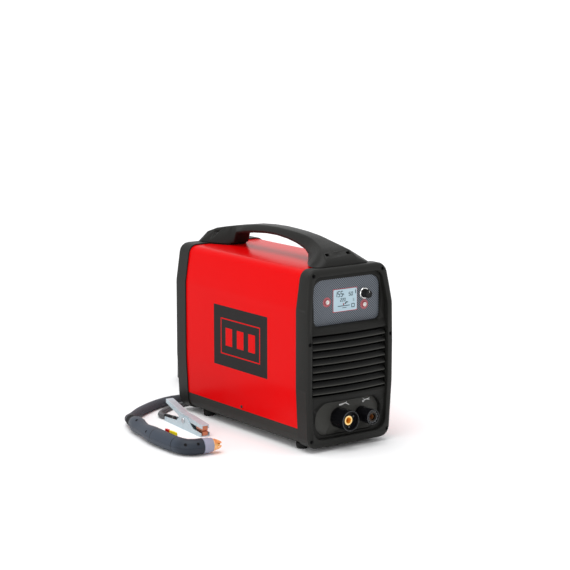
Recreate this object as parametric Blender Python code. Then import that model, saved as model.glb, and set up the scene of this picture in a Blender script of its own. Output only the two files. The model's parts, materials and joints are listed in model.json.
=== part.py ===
"""Portable inverter plasma cutter with its cutting torch and its work clamp.

The machine stands on four rubber feet.  A red sheet cover closes a grey tray, and a moulded
bezel frames each end.  The torch and the clamp lie beside it, each with its own lead.

Frame: metres, +Z up, the operator's side towards -Y, and the origin at the centre of the
tray's flat underside.
"""
import math

import bmesh
import bpy
from mathutils import Matrix, Vector, geometry

# ---------------------------------------------------------------- driving dimensions
CLEARANCE = 0.0003            # gap between pieces that touch

# Case
CASE_LENGTH = 0.417           # front rim to rear rim
CASE_TOP = 0.312
WAIST_HALF = 0.095            # half width where the case is widest
WAIST_LOW = 0.100             # the sides are widest between these two heights
WAIST_HIGH = 0.242
BOTTOM_HALF = 0.0895          # half width of the case at its underside, before rounding
TOP_HALF = 0.0845
TOP_CORNER = 0.0185
BOTTOM_CORNER = 0.020
SIDE_BEND_LOW = 0.150         # radii of the soft bends in the sides
SIDE_BEND_HIGH = 0.050
BEZEL_DEPTH = 0.034
BEZEL_PROUD = 0.0025          # bezels stand this far outside the cover and the tray
BEZEL_EDGE = 0.005            # rounding of the rim's outer edge
RIM_SOLID = 0.021             # depth over which the rim is solid
RIM_WIDTH = 0.0112            # rim at the sides of the opening
TOP_BAR = 0.0130              # rim above the opening
BOTTOM_BAR = 0.0150           # rim below the opening
OPENING_CORNER = 0.014
TOP_SETBACK = 0.010           # the rim leans back towards the top ...
BOTTOM_SETBACK = 0.002        # ... and a little towards the bottom
SETBACK_FROM = 0.185          # height where the rim is furthest forward
COVER_SHEET = 0.0012
COVER_BOTTOM = 0.030
COVER_UNDER_BEZEL = 0.006     # how far the cover runs into each bezel
TRAY_SHEET = 0.0015
TRAY_FLANGE = 0.012           # tray flange behind the cover
FOOT_HEIGHT = 0.010
FOOT_DIAMETER = 0.022
FOOT_X = 0.0685
FOOT_STUD = 0.0030            # radius of the stud that holds each foot in the tray
FOOT_SEAT = 0.0005            # depth of the seat that each foot sits in
FOOT_SEAT_GAP = 0.0005        # round the foot in its seat
FOOT_FRONT_INSET = 0.0165     # foot centres behind the front bezel ...
FOOT_REAR_INSET = 0.0385      # ... and in front of the rear one

# Front panel
PANEL_DEPTH = 0.006           # panel face behind the rim
PANEL_BOW = 0.007             # how far the middle of the grille bows forward
LABEL_DEPTH = 0.0165          # label face behind the front plane
LABEL_MARGIN = 0.0103         # panel beside the label
LABEL_LOW = 0.2115
LABEL_HIGH = 0.2915
LABEL_THICK = 0.0008
LABEL_CORNER = 0.020
LABEL_LOW_CORNER = 0.011
LABEL_RECESS_FLOOR = 0.0176   # behind the front plane
LOUVRE_LOW = 0.0891           # lips above and below the slats
LOUVRE_HIGH = 0.2016
CHEEK_DEPTH = 0.0145          # ends of the grille, set back from the slats
LOUVRE_BACK = 0.0155          # the grille is hollow behind this depth
SLAT_COUNT = 8
SLAT_GAP = 0.0042
SLAT_HEADROOM = 0.0035        # from the upper lip down to the first gap
SLAT_LEAN = 0.0045            # slat face leans back by this at its upper edge
SLOT_MARGIN = 0.0038          # cheeks beside the slats
SOCKET_FLOOR = 0.016          # face that carries the sockets, behind the front plane
SOCKET_RECESS_MARGIN = 0.0113
SOCKET_RECESS_LOW = 0.0165
SOCKET_RECESS_HIGH = 0.0770
SOCKET_RECESS_CORNER = 0.028

DISPLAY_X = -0.0015
DISPLAY_Z = 0.2525
DISPLAY_WIDTH = 0.051
DISPLAY_HEIGHT = 0.0385
DISPLAY_THICK = 0.0018
KNOB_X = 0.0405
KNOB_Z = 0.2600
KNOB_DIAMETER = 0.0155
KNOB_LENGTH = 0.0150
KNOB_SHAFT = 0.0060
COLLAR_DIAMETER = 0.0205
COLLAR_HEIGHT = 0.0030
BUTTON_X = 0.0412
BUTTON_LEFT_Z = 0.2520
BUTTON_RIGHT_Z = 0.2400
BUTTON_DIAMETER = 0.0100
BUTTON_PROUD = 0.0022
BUTTON_TRAVEL = 0.0012
SWITCH_HEIGHT = 0.0040        # of the small switches behind the buttons
BUTTON_STEM = 0.0050
RUNNING_GAP = 0.0005          # around each moving knob, button or rotor

BOARD_DEPTH = 0.0330          # front face of the control board behind the front plane
BOARD_THICK = 0.0016
BOARD_MARGIN = 0.0085         # control board inside the label's outline at the sides ...
BOARD_RISE = 0.0105           # ... above its lower edge ...
BOARD_DROP = 0.0065           # ... and below its upper edge
BOSS_INSET = 0.0050           # board bosses inside the board's corners

TORCH_SOCKET_X = -0.015
CLAMP_SOCKET_X = 0.035
SOCKET_Z = 0.044
TORCH_SOCKET_DIAMETER = 0.0366
CLAMP_SOCKET_DIAMETER = 0.0270
SOCKET_REACH = 0.020          # how far the sockets stand out of the front plane
TORCH_CUP_DEPTH = 0.0075
TORCH_CUP_WALL = 0.0026
TORCH_CONTACT = 0.0166
TORCH_CONTACT_BORE = 0.0100
CLAMP_CUP_DEPTH = 0.0035
CLAMP_CUP_WALL = 0.0022
CLAMP_CONTACT = 0.0175
CLAMP_CONTACT_BORE = 0.0130
SOCKET_SHANK = 0.0030         # the shank is this much slimmer in radius
SOCKET_END = 0.036            # rear end of the shank, behind the front plane
CONTACT_STUD = 0.0060         # radius of the brass stud behind each contact

SCREW_HEAD = 0.0052
SCREW_WELL = 0.0060
SCREW_WELL_DEPTH = 0.0050
SCREW_SHANK = 0.0030
SCREW_LENGTH = 0.0110
SCREW_INSET_TOP = 0.0088      # bezel screws, in from the side at the top ...
SCREW_DROP = 0.0105           # ... and below the top
SCREW_INSET_WAIST = 0.0064    # in from the side at the waist
SCREW_WAIST_Z = 0.1846
SCREW_INSET_LOW = 0.0057      # in from the side at the bottom ...
SCREW_RISE = 0.0147           # ... and above the bezel's underside
COVER_SCREW_Y = -0.001
COVER_SCREW_Z = 0.036

# Rear panel
REAR_PANEL_DEPTH = 0.0120
REAR_SHEET = 0.0015
FAN_SIZE = 0.120
FAN_DEPTH = 0.032
FAN_Z = 0.205
FAN_BORE = 0.112
FAN_HUB = 0.040
FAN_BLADES = 7
GRILLE_SLOT = 0.0055
GRILLE_PITCH = 0.0105
SWITCH_X = -0.042
SWITCH_Z = 0.088
SWITCH_PLATE = 0.050
SWITCH_KNOB = 0.034
SWITCH_BODY = 0.0404          # square body behind the plate
SWITCH_BODY_DEPTH = 0.040
GLAND_X = 0.045
GLAND_Z = 0.090
GLAND_DIAMETER = 0.030
INLET_X = 0.045
INLET_Z = 0.040
INLET_HEX = 0.019

# Inside
HEATSINK_LENGTH = 0.220
HEATSINK_WIDTH = 0.052
HEATSINK_HEIGHT = 0.120
HEATSINK_BASE = 0.008
HEATSINK_FINS = 6
FIN_THICK = 0.0022
POWER_BOARD_LENGTH = 0.240
POWER_BOARD_HEIGHT = 0.170
CAPACITOR_DIAMETER = 0.030
CAPACITOR_HEIGHT = 0.026
CORE_WIDTH = 0.030
CORE_LENGTH = 0.070
CORE_HEIGHT = 0.060
CORE_LIMB = 0.010             # thickness of the core's outer limbs and yokes
CORE_WINDOW = 0.017
WINDING_BULGE = 0.006
VALVE_SIZE = 0.034
VALVE_HEIGHT = 0.055

# Handle: y, top, underside, half width at the top and at the underside, and edge roundings
HANDLE_STATIONS = (
    (-0.1865, 0.3150, 0.3123, 0.0300, 0.0620, 0.0008, 0.0005),
    (-0.1785, 0.3230, 0.3123, 0.0340, 0.0620, 0.0030, 0.0005),
    (-0.1635, 0.3350, 0.3123, 0.0300, 0.0580, 0.0070, 0.0005),
    (-0.1485, 0.3410, 0.3123, 0.0240, 0.0500, 0.0080, 0.0005),
    (-0.1335, 0.3455, 0.3123, 0.0210, 0.0400, 0.0080, 0.0005),
    (-0.1205, 0.3490, 0.3125, 0.0195, 0.0290, 0.0075, 0.0020),
    (-0.1115, 0.3515, 0.3210, 0.0185, 0.0220, 0.0070, 0.0050),
    (-0.0955, 0.3545, 0.3295, 0.0177, 0.0185, 0.0070, 0.0060),
    (-0.0665, 0.3575, 0.3375, 0.0175, 0.0175, 0.0070, 0.0060),
    (-0.0385, 0.3590, 0.3420, 0.0175, 0.0175, 0.0070, 0.0060),
    (-0.0065, 0.3600, 0.3445, 0.0175, 0.0175, 0.0070, 0.0060),
    (0.0295, 0.3592, 0.3440, 0.0175, 0.0175, 0.0070, 0.0060),
    (0.0685, 0.3563, 0.3405, 0.0175, 0.0175, 0.0070, 0.0060),
    (0.0965, 0.3520, 0.3365, 0.0175, 0.0175, 0.0070, 0.0060),
    (0.1195, 0.3488, 0.3325, 0.0175, 0.0170, 0.0070, 0.0050),
    (0.1275, 0.3476, 0.3140, 0.0175, 0.0170, 0.0070, 0.0030),
    (0.1365, 0.3460, 0.3123, 0.0180, 0.0200, 0.0070, 0.0005),
    (0.1515, 0.3435, 0.3123, 0.0200, 0.0300, 0.0070, 0.0005),
    (0.1765, 0.3385, 0.3123, 0.0230, 0.0420, 0.0070, 0.0005),
    (0.1915, 0.3310, 0.3123, 0.0330, 0.0470, 0.0050, 0.0005),
    (0.1995, 0.3200, 0.3123, 0.0360, 0.0480, 0.0020, 0.0005))
HANDLE_PADS = (((-0.1742, 0.0540), (-0.1210, 0.0270)),     # y and half width of the two pads
               ((0.1380, 0.0190), (0.1742, 0.0400)))        # that reach down to the cover
STRAP_SLOTS = ((-0.1780, -0.1540, 0.3300), (0.1700, 0.1960, 0.3290))  # y from, y to and height
STRAP_SLOT_X = 0.0230
STRAP_SLOT = (0.0090, 0.0042)

# Torch, lying on its side with the trigger towards the machine
TORCH_RADIUS = 0.0150
TORCH_WALL = 0.0028
TORCH_NECK = 0.0080           # radius of what the shells grip at both ends
TORCH_STATIONS = (            # x, y and half width along the handle, rear to head
    (-0.2440, 0.1185, 0.0116), (-0.2470, 0.1060, 0.0146), (-0.2512, 0.0880, 0.0144),
    (-0.2556, 0.0720, 0.0124), (-0.2604, 0.0480, 0.0128), (-0.2630, 0.0240, 0.0152),
    (-0.2650, 0.0000, 0.0160), (-0.2662, -0.0250, 0.0150), (-0.2668, -0.0480, 0.0142),
    (-0.2664, -0.0640, 0.0141), (-0.2625, -0.0800, 0.0140), (-0.2535, -0.0892, 0.0140),
    (-0.2368, -0.0924, 0.0140))
HEAD_LENGTH = 0.0190
NOZZLE_LENGTH = 0.0175
BOOT_LENGTH = 0.0200
TRIGGER_SLOT = (-0.0322, 0.0158, 0.0050)   # y from, y to and half height
TRIGGER_PIVOT = (-0.2535, 0.0105)
SAFETY_PIVOT = (-0.2560, -0.0275)
TRIGGER_PIN = 0.0013
TRIGGER_OUTLINE = ((-0.2585, 0.0072), (-0.2500, -0.0034), (-0.2448, -0.0024), (-0.2432, 0.0010),
                   (-0.2434, 0.0062), (-0.2462, 0.0114), (-0.2500, 0.0148), (-0.2560, 0.0148))
SAFETY_OUTLINE = ((-0.2590, -0.0306), (-0.2510, -0.0308), (-0.2465, -0.0292), (-0.2443, -0.0240),
                  (-0.2438, -0.0140), (-0.2444, -0.0044), (-0.2505, -0.0044), (-0.2512, -0.0200),
                  (-0.2590, -0.0250))
TRIGGER_PAD = ((-0.2468, -0.0022), (-0.2449, -0.0028), (-0.2430, 0.0009), (-0.2432, 0.0063),
               (-0.2455, 0.0104), (-0.2468, 0.0104))
SAFETY_PAD = ((-0.2478, -0.0288), (-0.2464, -0.0294), (-0.2441, -0.0241), (-0.2436, -0.0140),
              (-0.2442, -0.0050), (-0.2478, -0.0050))
PAD_HALF = 0.0115             # half height of the finger pads outside the shells
TUBE_RADIUS = 0.0040
TORCH_GRIP = 0.0060           # length of the necks that hold the tube and the boot

# Leads.  Each starts as a stretch that lies loose and ends as a coil behind the machine.
HOSE_DIAMETER = 0.0175
HOSE_LENGTH = 5.6
HOSE_ROUTE = (                # x, y and height above its resting place
    (-0.2392, 0.1386, 0.00625), (-0.2378, 0.1445, 0.0061), (-0.2332, 0.1545, 0.0047),
    (-0.2250, 0.1645, 0.0022), (-0.2123, 0.1770, 0.0003),
    (-0.1868, 0.1995, 0.0),
    (-0.1620, 0.2160, 0.0), (-0.1309, 0.2330, 0.0), (-0.0984, 0.2450, 0.0),
    (-0.0740, 0.2470, 0.0), (-0.0450, 0.2425, 0.0), (-0.0050, 0.2390, 0.0),
    (0.0500, 0.2385, 0.0), (0.1050, 0.2390, 0.0), (0.1530, 0.2395, 0.0))
CABLE_DIAMETER = 0.0095
CABLE_LENGTH = 3.6
CABLE_ROUTE = (
    (-0.1529, 0.1256, 0.0023), (-0.1524, 0.1400, 0.0023), (-0.1535, 0.1530, 0.0016),
    (-0.1550, 0.1660, 0.0004), (-0.1505, 0.1790, 0.0), (-0.1405, 0.1900, 0.0),
    (-0.1245, 0.2015, 0.0), (-0.1045, 0.2130, 0.0),
    (-0.0780, 0.2210, 0.0), (-0.0450, 0.2234, 0.0), (0.0000, 0.2236, 0.0),
    (0.0500, 0.2234, 0.0), (0.0820, 0.2210, 0.0), (0.1060, 0.2100, 0.0),
    (0.1205, 0.1885, 0.0), (0.1245, 0.1580, 0.0), (0.1228, 0.1200, 0.0), (0.1216, 0.0800, 0.0))
COIL_TURNS = 3                # turns side by side, and turns on top of each other
COIL_STEPS = 36               # sides of a coil's ring
LEAD_SIDES = 12               # sides of a lead's loose stretch
TAIL_ANGLE = 100.0            # degrees of the last arc, which lies on the coil
HOSE_PLUG_DIAMETER = 0.036
HOSE_PLUG_LENGTH = 0.074
CABLE_PLUG_DIAMETER = 0.026
CABLE_PLUG_LENGTH = 0.070

# Work clamp, standing on its lower arm
CLAMP_REAR = (-0.1506, 0.1475)
CLAMP_TIP = (-0.1647, 0.0045)
ARM_SHEET = 0.0018
LOWER_HALF = 0.0095           # half widths of the two channels
UPPER_HALF = 0.0074
LOWER_PROFILE = ((0.0, 0.0), (0.1425, 0.0), (0.1437, 0.0070), (0.1120, 0.0090),
                 (0.0870, 0.0235), (0.0640, 0.0235), (0.0480, 0.0110), (0.0, 0.0080))
UPPER_TOP = ((0.0020, 0.0420), (0.0400, 0.0335), (0.0640, 0.0275), (0.0880, 0.0270),
             (0.1437, 0.0220))
UPPER_BOTTOM = ((0.1437, 0.0150), (0.1000, 0.0175), (0.0840, 0.0110), (0.0660, 0.0110),
                (0.0480, 0.0225), (0.0020, 0.0350))
PIVOT_ALONG = 0.0750
PIVOT_HEIGHT = 0.0165
PIVOT_PIN = 0.0030
JAW_LENGTH = 0.024
JAW_HALF = 0.0052
JAW_MEET = 0.0105             # height where the jaws meet
SPRING_OUTER = 0.0068
SPRING_INNER = 0.0040

# ---------------------------------------------------------------- derived places
FRONT = -CASE_LENGTH / 2
REAR = CASE_LENGTH / 2
FLOOR = -FOOT_HEIGHT
SHELL_FRONT = FRONT + BEZEL_DEPTH
SHELL_REAR = REAR - BEZEL_DEPTH
PANEL_HALF = WAIST_HALF - RIM_WIDTH
LABEL_HALF = PANEL_HALF - LABEL_MARGIN
SLOT_HALF = PANEL_HALF - SLOT_MARGIN
SOCKET_RECESS_HALF = PANEL_HALF - SOCKET_RECESS_MARGIN
SLAT_PITCH = (LOUVRE_HIGH - SLAT_HEADROOM - LOUVRE_LOW - SLAT_GAP) / SLAT_COUNT
SLAT_FIRST = LOUVRE_HIGH - SLAT_HEADROOM - SLAT_PITCH   # lower edge of the top slat
BOARD_HALF = LABEL_HALF - BOARD_MARGIN
BOARD_LOW = LABEL_LOW + BOARD_RISE
BOARD_HIGH = LABEL_HIGH - BOARD_DROP
FRONT_SCREWS = ((TOP_HALF - SCREW_INSET_TOP, CASE_TOP - SCREW_DROP),
                (WAIST_HALF - SCREW_INSET_WAIST, SCREW_WAIST_Z),
                (BOTTOM_HALF - SCREW_INSET_LOW, SCREW_RISE - BEZEL_PROUD))
FOOT_FRONT_Y = SHELL_FRONT + FOOT_FRONT_INSET
FOOT_REAR_Y = SHELL_REAR - FOOT_REAR_INSET
PANEL_BACK = FRONT + RIM_SOLID
BOARD_FACE = FRONT + BOARD_DEPTH
LABEL_FACE = FRONT + LABEL_DEPTH
TORCH_HEIGHT = FLOOR + TORCH_RADIUS
TRAY_TOP = COVER_SHEET + CLEARANCE + TRAY_SHEET   # upper face of the tray's floor


# ---------------------------------------------------------------- modelling helpers
def clear_scene():
    for item in list(bpy.data.objects):
        bpy.data.objects.remove(item)


def finish(name, colour, roughness, metallic=0.0):
    """A plain material in one colour."""
    made = bpy.data.materials.get(name) or bpy.data.materials.new(name)
    made.use_nodes = True
    shader = made.node_tree.nodes["Principled BSDF"]
    shader.inputs["Base Color"].default_value = (*colour, 1.0)
    shader.inputs["Roughness"].default_value = roughness
    shader.inputs["Metallic"].default_value = metallic
    return made


def place(bm, name, material, parent=None, smooth=True):
    """Turns a bmesh into a named object."""
    bmesh.ops.recalc_face_normals(bm, faces=bm.faces)
    mesh = bpy.data.meshes.new(name)
    bm.to_mesh(mesh)
    bm.free()
    if smooth:
        mesh.shade_smooth()
        mesh.set_sharp_from_angle(angle=math.radians(35))
    if material:
        mesh.materials.append(material)
    return hang(bpy.data.objects.new(name, mesh), parent)


def hang(made, parent=None):
    """Puts an object in the scene and hangs it on its parent without moving it."""
    bpy.context.scene.collection.objects.link(made)
    if parent:
        made.parent = parent
        made.matrix_parent_inverse = Matrix.Translation(-parent.location)
    return made


def pivot(name, location, parent=None):
    """An empty on a joint's axis."""
    made = bpy.data.objects.new(name, None)
    made.location = location
    return hang(made, parent)


def combine(target, tool, operation="DIFFERENCE"):
    """Cuts, joins or trims the target with a hidden tool object."""
    tool.hide_render = True
    tool.display_type = "WIRE"
    step = target.modifiers.new(tool.name, "BOOLEAN")
    step.operation = operation
    step.solver = "EXACT"
    step.object = tool
    return target


def lofted(loops, closed=False):
    """A skin over loops of equally many points, capped at its ends or closed on itself."""
    bm = bmesh.new()
    rings = [[bm.verts.new(point) for point in loop] for loop in loops]
    count = len(rings[0])
    for first, second in list(zip(rings, rings[1:])) + ([(rings[-1], rings[0])] if closed else []):
        for index in range(count):
            after = (index + 1) % count
            bm.faces.new((first[index], first[after], second[after], second[index]))
    if not closed:
        bm.faces.new(rings[0])
        bm.faces.new(rings[-1])
    return bm


def prism(outline, offset):
    """A flat outline of 3-D points pushed out along a vector."""
    bm = bmesh.new()
    face = bm.faces.new([bm.verts.new(point) for point in outline])
    pushed = bmesh.ops.extrude_face_region(bm, geom=[face])["geom"]
    bmesh.ops.translate(bm, vec=offset, verts=[v for v in pushed if isinstance(v, bmesh.types.BMVert)])
    return bm


def block(low, high, bevel=0.0, segments=2):
    """A box from corner to corner, its edges rounded by the bevel."""
    bm = bmesh.new()
    bmesh.ops.create_cube(bm, size=1.0)
    low, high = Vector(low), Vector(high)
    bmesh.ops.scale(bm, vec=high - low, verts=bm.verts)
    bmesh.ops.translate(bm, vec=(low + high) / 2, verts=bm.verts)
    if bevel:
        bmesh.ops.bevel(bm, geom=bm.edges[:], offset=bevel, segments=segments, profile=0.5,
                        affect="EDGES", clamp_overlap=True, material=-1)
    return bm


def sided_block(side, inner_x, outer_x, reach_y, reach_z):
    """A box on one side of the middle plane, given by its distances from it."""
    low_x, high_x = sorted((side * inner_x, side * outer_x))
    return block((low_x, reach_y[0], reach_z[0]), (high_x, reach_y[1], reach_z[1]))


def turned(profile, centre, axis, steps=28):
    """A (radius, along) outline spun about an axis; a closed outline off the axis is a ring."""
    bm = bmesh.new()
    corners = [bm.verts.new((radius, 0.0, along)) for radius, along in profile]
    solid = min(radius for radius, _ in profile) < 1e-9
    pairs = list(zip(corners, corners[1:])) + ([] if solid else [(corners[-1], corners[0])])
    edges = [bm.edges.new(pair) for pair in pairs]
    bmesh.ops.spin(bm, geom=corners + edges, cent=(0, 0, 0), axis=(0, 0, 1), dvec=(0, 0, 0),
                   angle=2 * math.pi, steps=steps, use_merge=True)
    bmesh.ops.remove_doubles(bm, verts=bm.verts, dist=1e-6)
    turn = Vector((0, 0, 1)).rotation_difference(Vector(axis).normalized()).to_matrix().to_4x4()
    bmesh.ops.transform(bm, matrix=Matrix.Translation(centre) @ turn, verts=bm.verts)
    return bm


def rod(radius, start, end, steps=24):
    """A round bar between two points."""
    start, end = Vector(start), Vector(end)
    reach = (end - start).length
    return turned([(0, 0), (radius, 0), (radius, reach), (0, reach)], start, end - start, steps)


def merged(*parts):
    """Several bmeshes in one, such as the slots of one cutter, each still its own body."""
    whole = bmesh.new()
    for part in parts:
        scratch = bpy.data.meshes.new("scratch")
        bmesh.ops.recalc_face_normals(part, faces=part.faces)
        part.to_mesh(scratch)
        part.free()
        whole.from_mesh(scratch)
        bpy.data.meshes.remove(scratch)
    return whole


def inset_corners(corners, distance):
    """The corners (u, v, radius) of a convex anticlockwise outline, moved inwards."""
    moved = []
    count = len(corners)
    for index, (u, v, radius) in enumerate(corners):
        before = Vector(corners[index - 1][:2])
        here = Vector((u, v))
        after = Vector(corners[(index + 1) % count][:2])
        shift_in = Vector((-(here - before).y, (here - before).x)).normalized() * distance
        shift_out = Vector((-(after - here).y, (after - here).x)).normalized() * distance
        crossing = geometry.intersect_line_line_2d
        point = crossing(before + shift_in - (here - before) * 9, here + shift_in + (here - before) * 9,
                         here + shift_out - (after - here) * 9, after + shift_out + (after - here) * 9)
        moved.append((point.x, point.y, max(radius - distance, 0.001)))
    return moved


def rounded(corners, steps=5, splits=1):
    """Points round an outline of (u, v, radius) corners; each straight run is split up."""
    points = []
    count = len(corners)
    for index, (u, v, radius) in enumerate(corners):
        here = Vector((u, v))
        back = (Vector(corners[index - 1][:2]) - here).normalized()
        ahead = (Vector(corners[(index + 1) % count][:2]) - here).normalized()
        turn = math.pi - back.angle(ahead)
        arc_steps = steps if turn > math.radians(40) else 2
        reach = radius * math.tan(turn / 2)
        centre = here + (back + ahead).normalized() * (radius / math.cos(turn / 2))
        start = here + back * reach - centre
        side = math.copysign(1, back.x * ahead.y - back.y * ahead.x) * -1
        for step in range(arc_steps + 1):
            angle = side * turn * step / arc_steps
            points.append(Vector((start.x * math.cos(angle) - start.y * math.sin(angle),
                                  start.x * math.sin(angle) + start.y * math.cos(angle))) + centre)
        last = points[-1]
        following = Vector(corners[(index + 1) % count])
        next_turn = math.pi - (-ahead).angle((Vector(corners[(index + 2) % count][:2])
                                              - following.xy).normalized())
        arrival = following.xy - ahead * following.z * math.tan(next_turn / 2)
        points += [last.lerp(arrival, part / splits) for part in range(1, splits)]
    return points


def rectangle(u_low, u_high, v_low, v_high, radius):
    """Anticlockwise rounded corners of a rectangle."""
    return [(u_low, v_low, radius), (u_high, v_low, radius),
            (u_high, v_high, radius), (u_low, v_high, radius)]


def facing_front(points, y):
    """Outline points (x, z) stood up at one depth."""
    return [(point[0], y, point[1]) for point in points]


def smooth_route(points, spacing):
    """Evenly spaced points on a smooth curve through the route's own points."""
    knots = [Vector(point) for point in points]
    knots = [2 * knots[0] - knots[1]] + knots + [2 * knots[-1] - knots[-2]]
    fine = []
    for before, start, end, after in zip(knots, knots[1:], knots[2:], knots[3:]):
        for step in range(24):
            t = step / 24
            fine.append(0.5 * (2 * start + (end - before) * t
                               + (2 * before - 5 * start + 4 * end - after) * t ** 2
                               + (3 * start - before - 3 * end + after) * t ** 3))
    fine.append(knots[-2])
    total = sum((b - a).length for a, b in zip(fine, fine[1:]))
    count = max(2, round(total / spacing))
    even, walked, index = [fine[0]], 0.0, 0
    for number in range(1, count):
        target = total * number / count
        while walked + (fine[index + 1] - fine[index]).length < target:
            walked += (fine[index + 1] - fine[index]).length
            index += 1
        even.append(fine[index].lerp(fine[index + 1],
                                     (target - walked) / (fine[index + 1] - fine[index]).length))
    return even + [fine[-1]]


# ---------------------------------------------------------------- case outline
def case_corners(inset=0.0):
    """Corners of the case seen from the front, anticlockwise, moved inwards by the inset."""
    bottom = -BEZEL_PROUD
    right = [(BOTTOM_HALF, bottom, BOTTOM_CORNER), (WAIST_HALF, WAIST_LOW, SIDE_BEND_LOW),
             (WAIST_HALF, WAIST_HIGH, SIDE_BEND_HIGH), (TOP_HALF, CASE_TOP, TOP_CORNER)]
    left = [(-u, v, radius) for u, v, radius in reversed(right)]
    return inset_corners(left[-1:] + right + left[:-1], inset)


def opening_corners():
    """Corners of the bezels' openings."""
    bottom = BOTTOM_BAR - BEZEL_PROUD
    right = [(BOTTOM_HALF - RIM_WIDTH * 0.9, bottom, OPENING_CORNER * 1.5),
             (WAIST_HALF - RIM_WIDTH, WAIST_LOW, SIDE_BEND_LOW),
             (WAIST_HALF - RIM_WIDTH, WAIST_HIGH, SIDE_BEND_HIGH),
             (TOP_HALF - RIM_WIDTH, CASE_TOP - TOP_BAR, OPENING_CORNER)]
    left = [(-u, v, radius) for u, v, radius in reversed(right)]
    return left[-1:] + right + left[:-1]


def rim_setback(height):
    """How far the front rim leans back from the front plane at a height."""
    above = max(0.0, height - SETBACK_FROM) / (CASE_TOP - SETBACK_FROM)
    below = max(0.0, SETBACK_FROM - height) / (SETBACK_FROM + BEZEL_PROUD)
    return TOP_SETBACK * above ** 2 + BOTTOM_SETBACK * below ** 2


# ---------------------------------------------------------------- machine: case
def bezel(name, end, material, root):
    """A moulded frame: end is -1 at the front, where its rim leans back, and +1 at the rear."""
    edge = BEZEL_EDGE
    opening = opening_corners()
    sections = [  # corners, depth behind the rim, whether it leans with the rim
        (case_corners(0.0), BEZEL_DEPTH, False),
        (case_corners(0.0), edge, True),
        (case_corners(edge * 0.29), edge * 0.29, True),
        (case_corners(edge), 0.0, True),
        (inset_corners(opening, -0.0012), 0.0, True),
        (opening, 0.0012, True),
        (opening, RIM_SOLID, False),
        (case_corners(BEZEL_PROUD - CLEARANCE), RIM_SOLID, False),
        (case_corners(BEZEL_PROUD - CLEARANCE), BEZEL_DEPTH, False),
    ]
    loops = []
    for corners, depth, leans in sections:
        lean = leans and end < 0
        loops.append([(x, end * (CASE_LENGTH / 2 - depth - (rim_setback(z) if lean else 0.0)), z)
                      for x, z in rounded(corners, steps=4, splits=2)])
    return place(lofted(loops, closed=True), name, material, root)


def top_cover(material, root):
    """The red sheet: two sides and a top, folded from one piece."""
    outer = rounded(case_corners(BEZEL_PROUD), steps=4)
    inner = rounded(case_corners(BEZEL_PROUD + COVER_SHEET), steps=4)
    overlap = COVER_UNDER_BEZEL
    loops = [facing_front(points, y) for points, y in (
        (outer, SHELL_FRONT - overlap), (outer, SHELL_REAR + overlap),
        (inner, SHELL_REAR + overlap), (inner, SHELL_FRONT - overlap))]
    made = place(lofted(loops, closed=True), "top_cover", material, root)
    below = block((-WAIST_HALF * 2, FRONT, FLOOR * 2), (WAIST_HALF * 2, REAR, COVER_BOTTOM))
    combine(made, place(below, "cut_cover_bottom", None))
    screw_bores = merged(*[rod(SCREW_SHANK / 2 + CLEARANCE, (side * WAIST_HALF * 0.8, COVER_SCREW_Y,
                                                            COVER_SCREW_Z),
                               (side * WAIST_HALF * 1.2, COVER_SCREW_Y, COVER_SCREW_Z), 12)
                           for side in (-1, 1)])
    return combine(made, place(screw_bores, "cut_cover_screws", None))


def base_tray(material, root):
    """The grey tray: its lower walls lie flush with the cover and its flanges run behind it."""
    flange_inset = BEZEL_PROUD + COVER_SHEET + CLEARANCE
    outer = rounded(case_corners(BEZEL_PROUD), steps=4)
    inner = rounded(case_corners(flange_inset + TRAY_SHEET), steps=4)
    overlap = COVER_UNDER_BEZEL
    front, rear = SHELL_FRONT - overlap, SHELL_REAR + overlap
    loops = [facing_front(points, y) for points, y in (
        (outer, front), (outer, rear), (inner, rear), (inner, front))]
    made = place(lofted(loops, closed=True), "base_tray", material, root)
    top = COVER_BOTTOM + TRAY_FLANGE
    above = block((-WAIST_HALF * 2, FRONT, top), (WAIST_HALF * 2, REAR, CASE_TOP * 2))
    combine(made, place(above, "cut_tray_top", None))
    joggle = merged(*[sided_block(side, joggle_half(), WAIST_HALF * 1.2, (FRONT, REAR),
                                  (COVER_BOTTOM - CLEARANCE, top * 1.2)) for side in (-1, 1)])
    combine(made, place(joggle, "cut_tray_joggle", None))
    bores = [rod(SCREW_SHANK / 2 + CLEARANCE, (side * WAIST_HALF * 0.7, COVER_SCREW_Y, COVER_SCREW_Z),
                 (side * WAIST_HALF, COVER_SCREW_Y, COVER_SCREW_Z), 12) for side in (-1, 1)]
    seat, stud = FOOT_DIAMETER / 2 + FOOT_SEAT_GAP, FOOT_STUD + CLEARANCE
    outline = [(0, -0.001), (seat, -0.001), (seat, FOOT_SEAT), (stud, FOOT_SEAT),
               (stud, TRAY_TOP + 0.002), (0, TRAY_TOP + 0.002)]
    bores += [turned(outline, (x, y, 0), (0, 0, 1), 16) for x, y in foot_places()]
    return combine(made, place(merged(*bores), "cut_tray_holes", None))


def joggle_half():
    """Half the distance between the outer faces of the tray's two flanges."""
    share = (COVER_BOTTOM + BEZEL_PROUD) / (WAIST_LOW + BEZEL_PROUD)
    half = BOTTOM_HALF + (WAIST_HALF - BOTTOM_HALF) * share
    return half - BEZEL_PROUD - COVER_SHEET - CLEARANCE


def foot_places():
    return [(side * FOOT_X, y) for y in (FOOT_FRONT_Y, FOOT_REAR_Y) for side in (-1, 1)]


def foot(name, x, y, material, root):
    radius, top = FOOT_DIAMETER / 2, FOOT_SEAT - CLEARANCE
    stud_top = TRAY_TOP + 0.001
    outline = [(0, FLOOR), (radius - 0.0020, FLOOR), (radius - 0.0005, FLOOR + 0.0020),
               (radius, top), (FOOT_STUD, top), (FOOT_STUD, stud_top), (0, stud_top)]
    return place(turned(outline, (x, y, 0), (0, 0, 1), 16), name, material, root)


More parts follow.
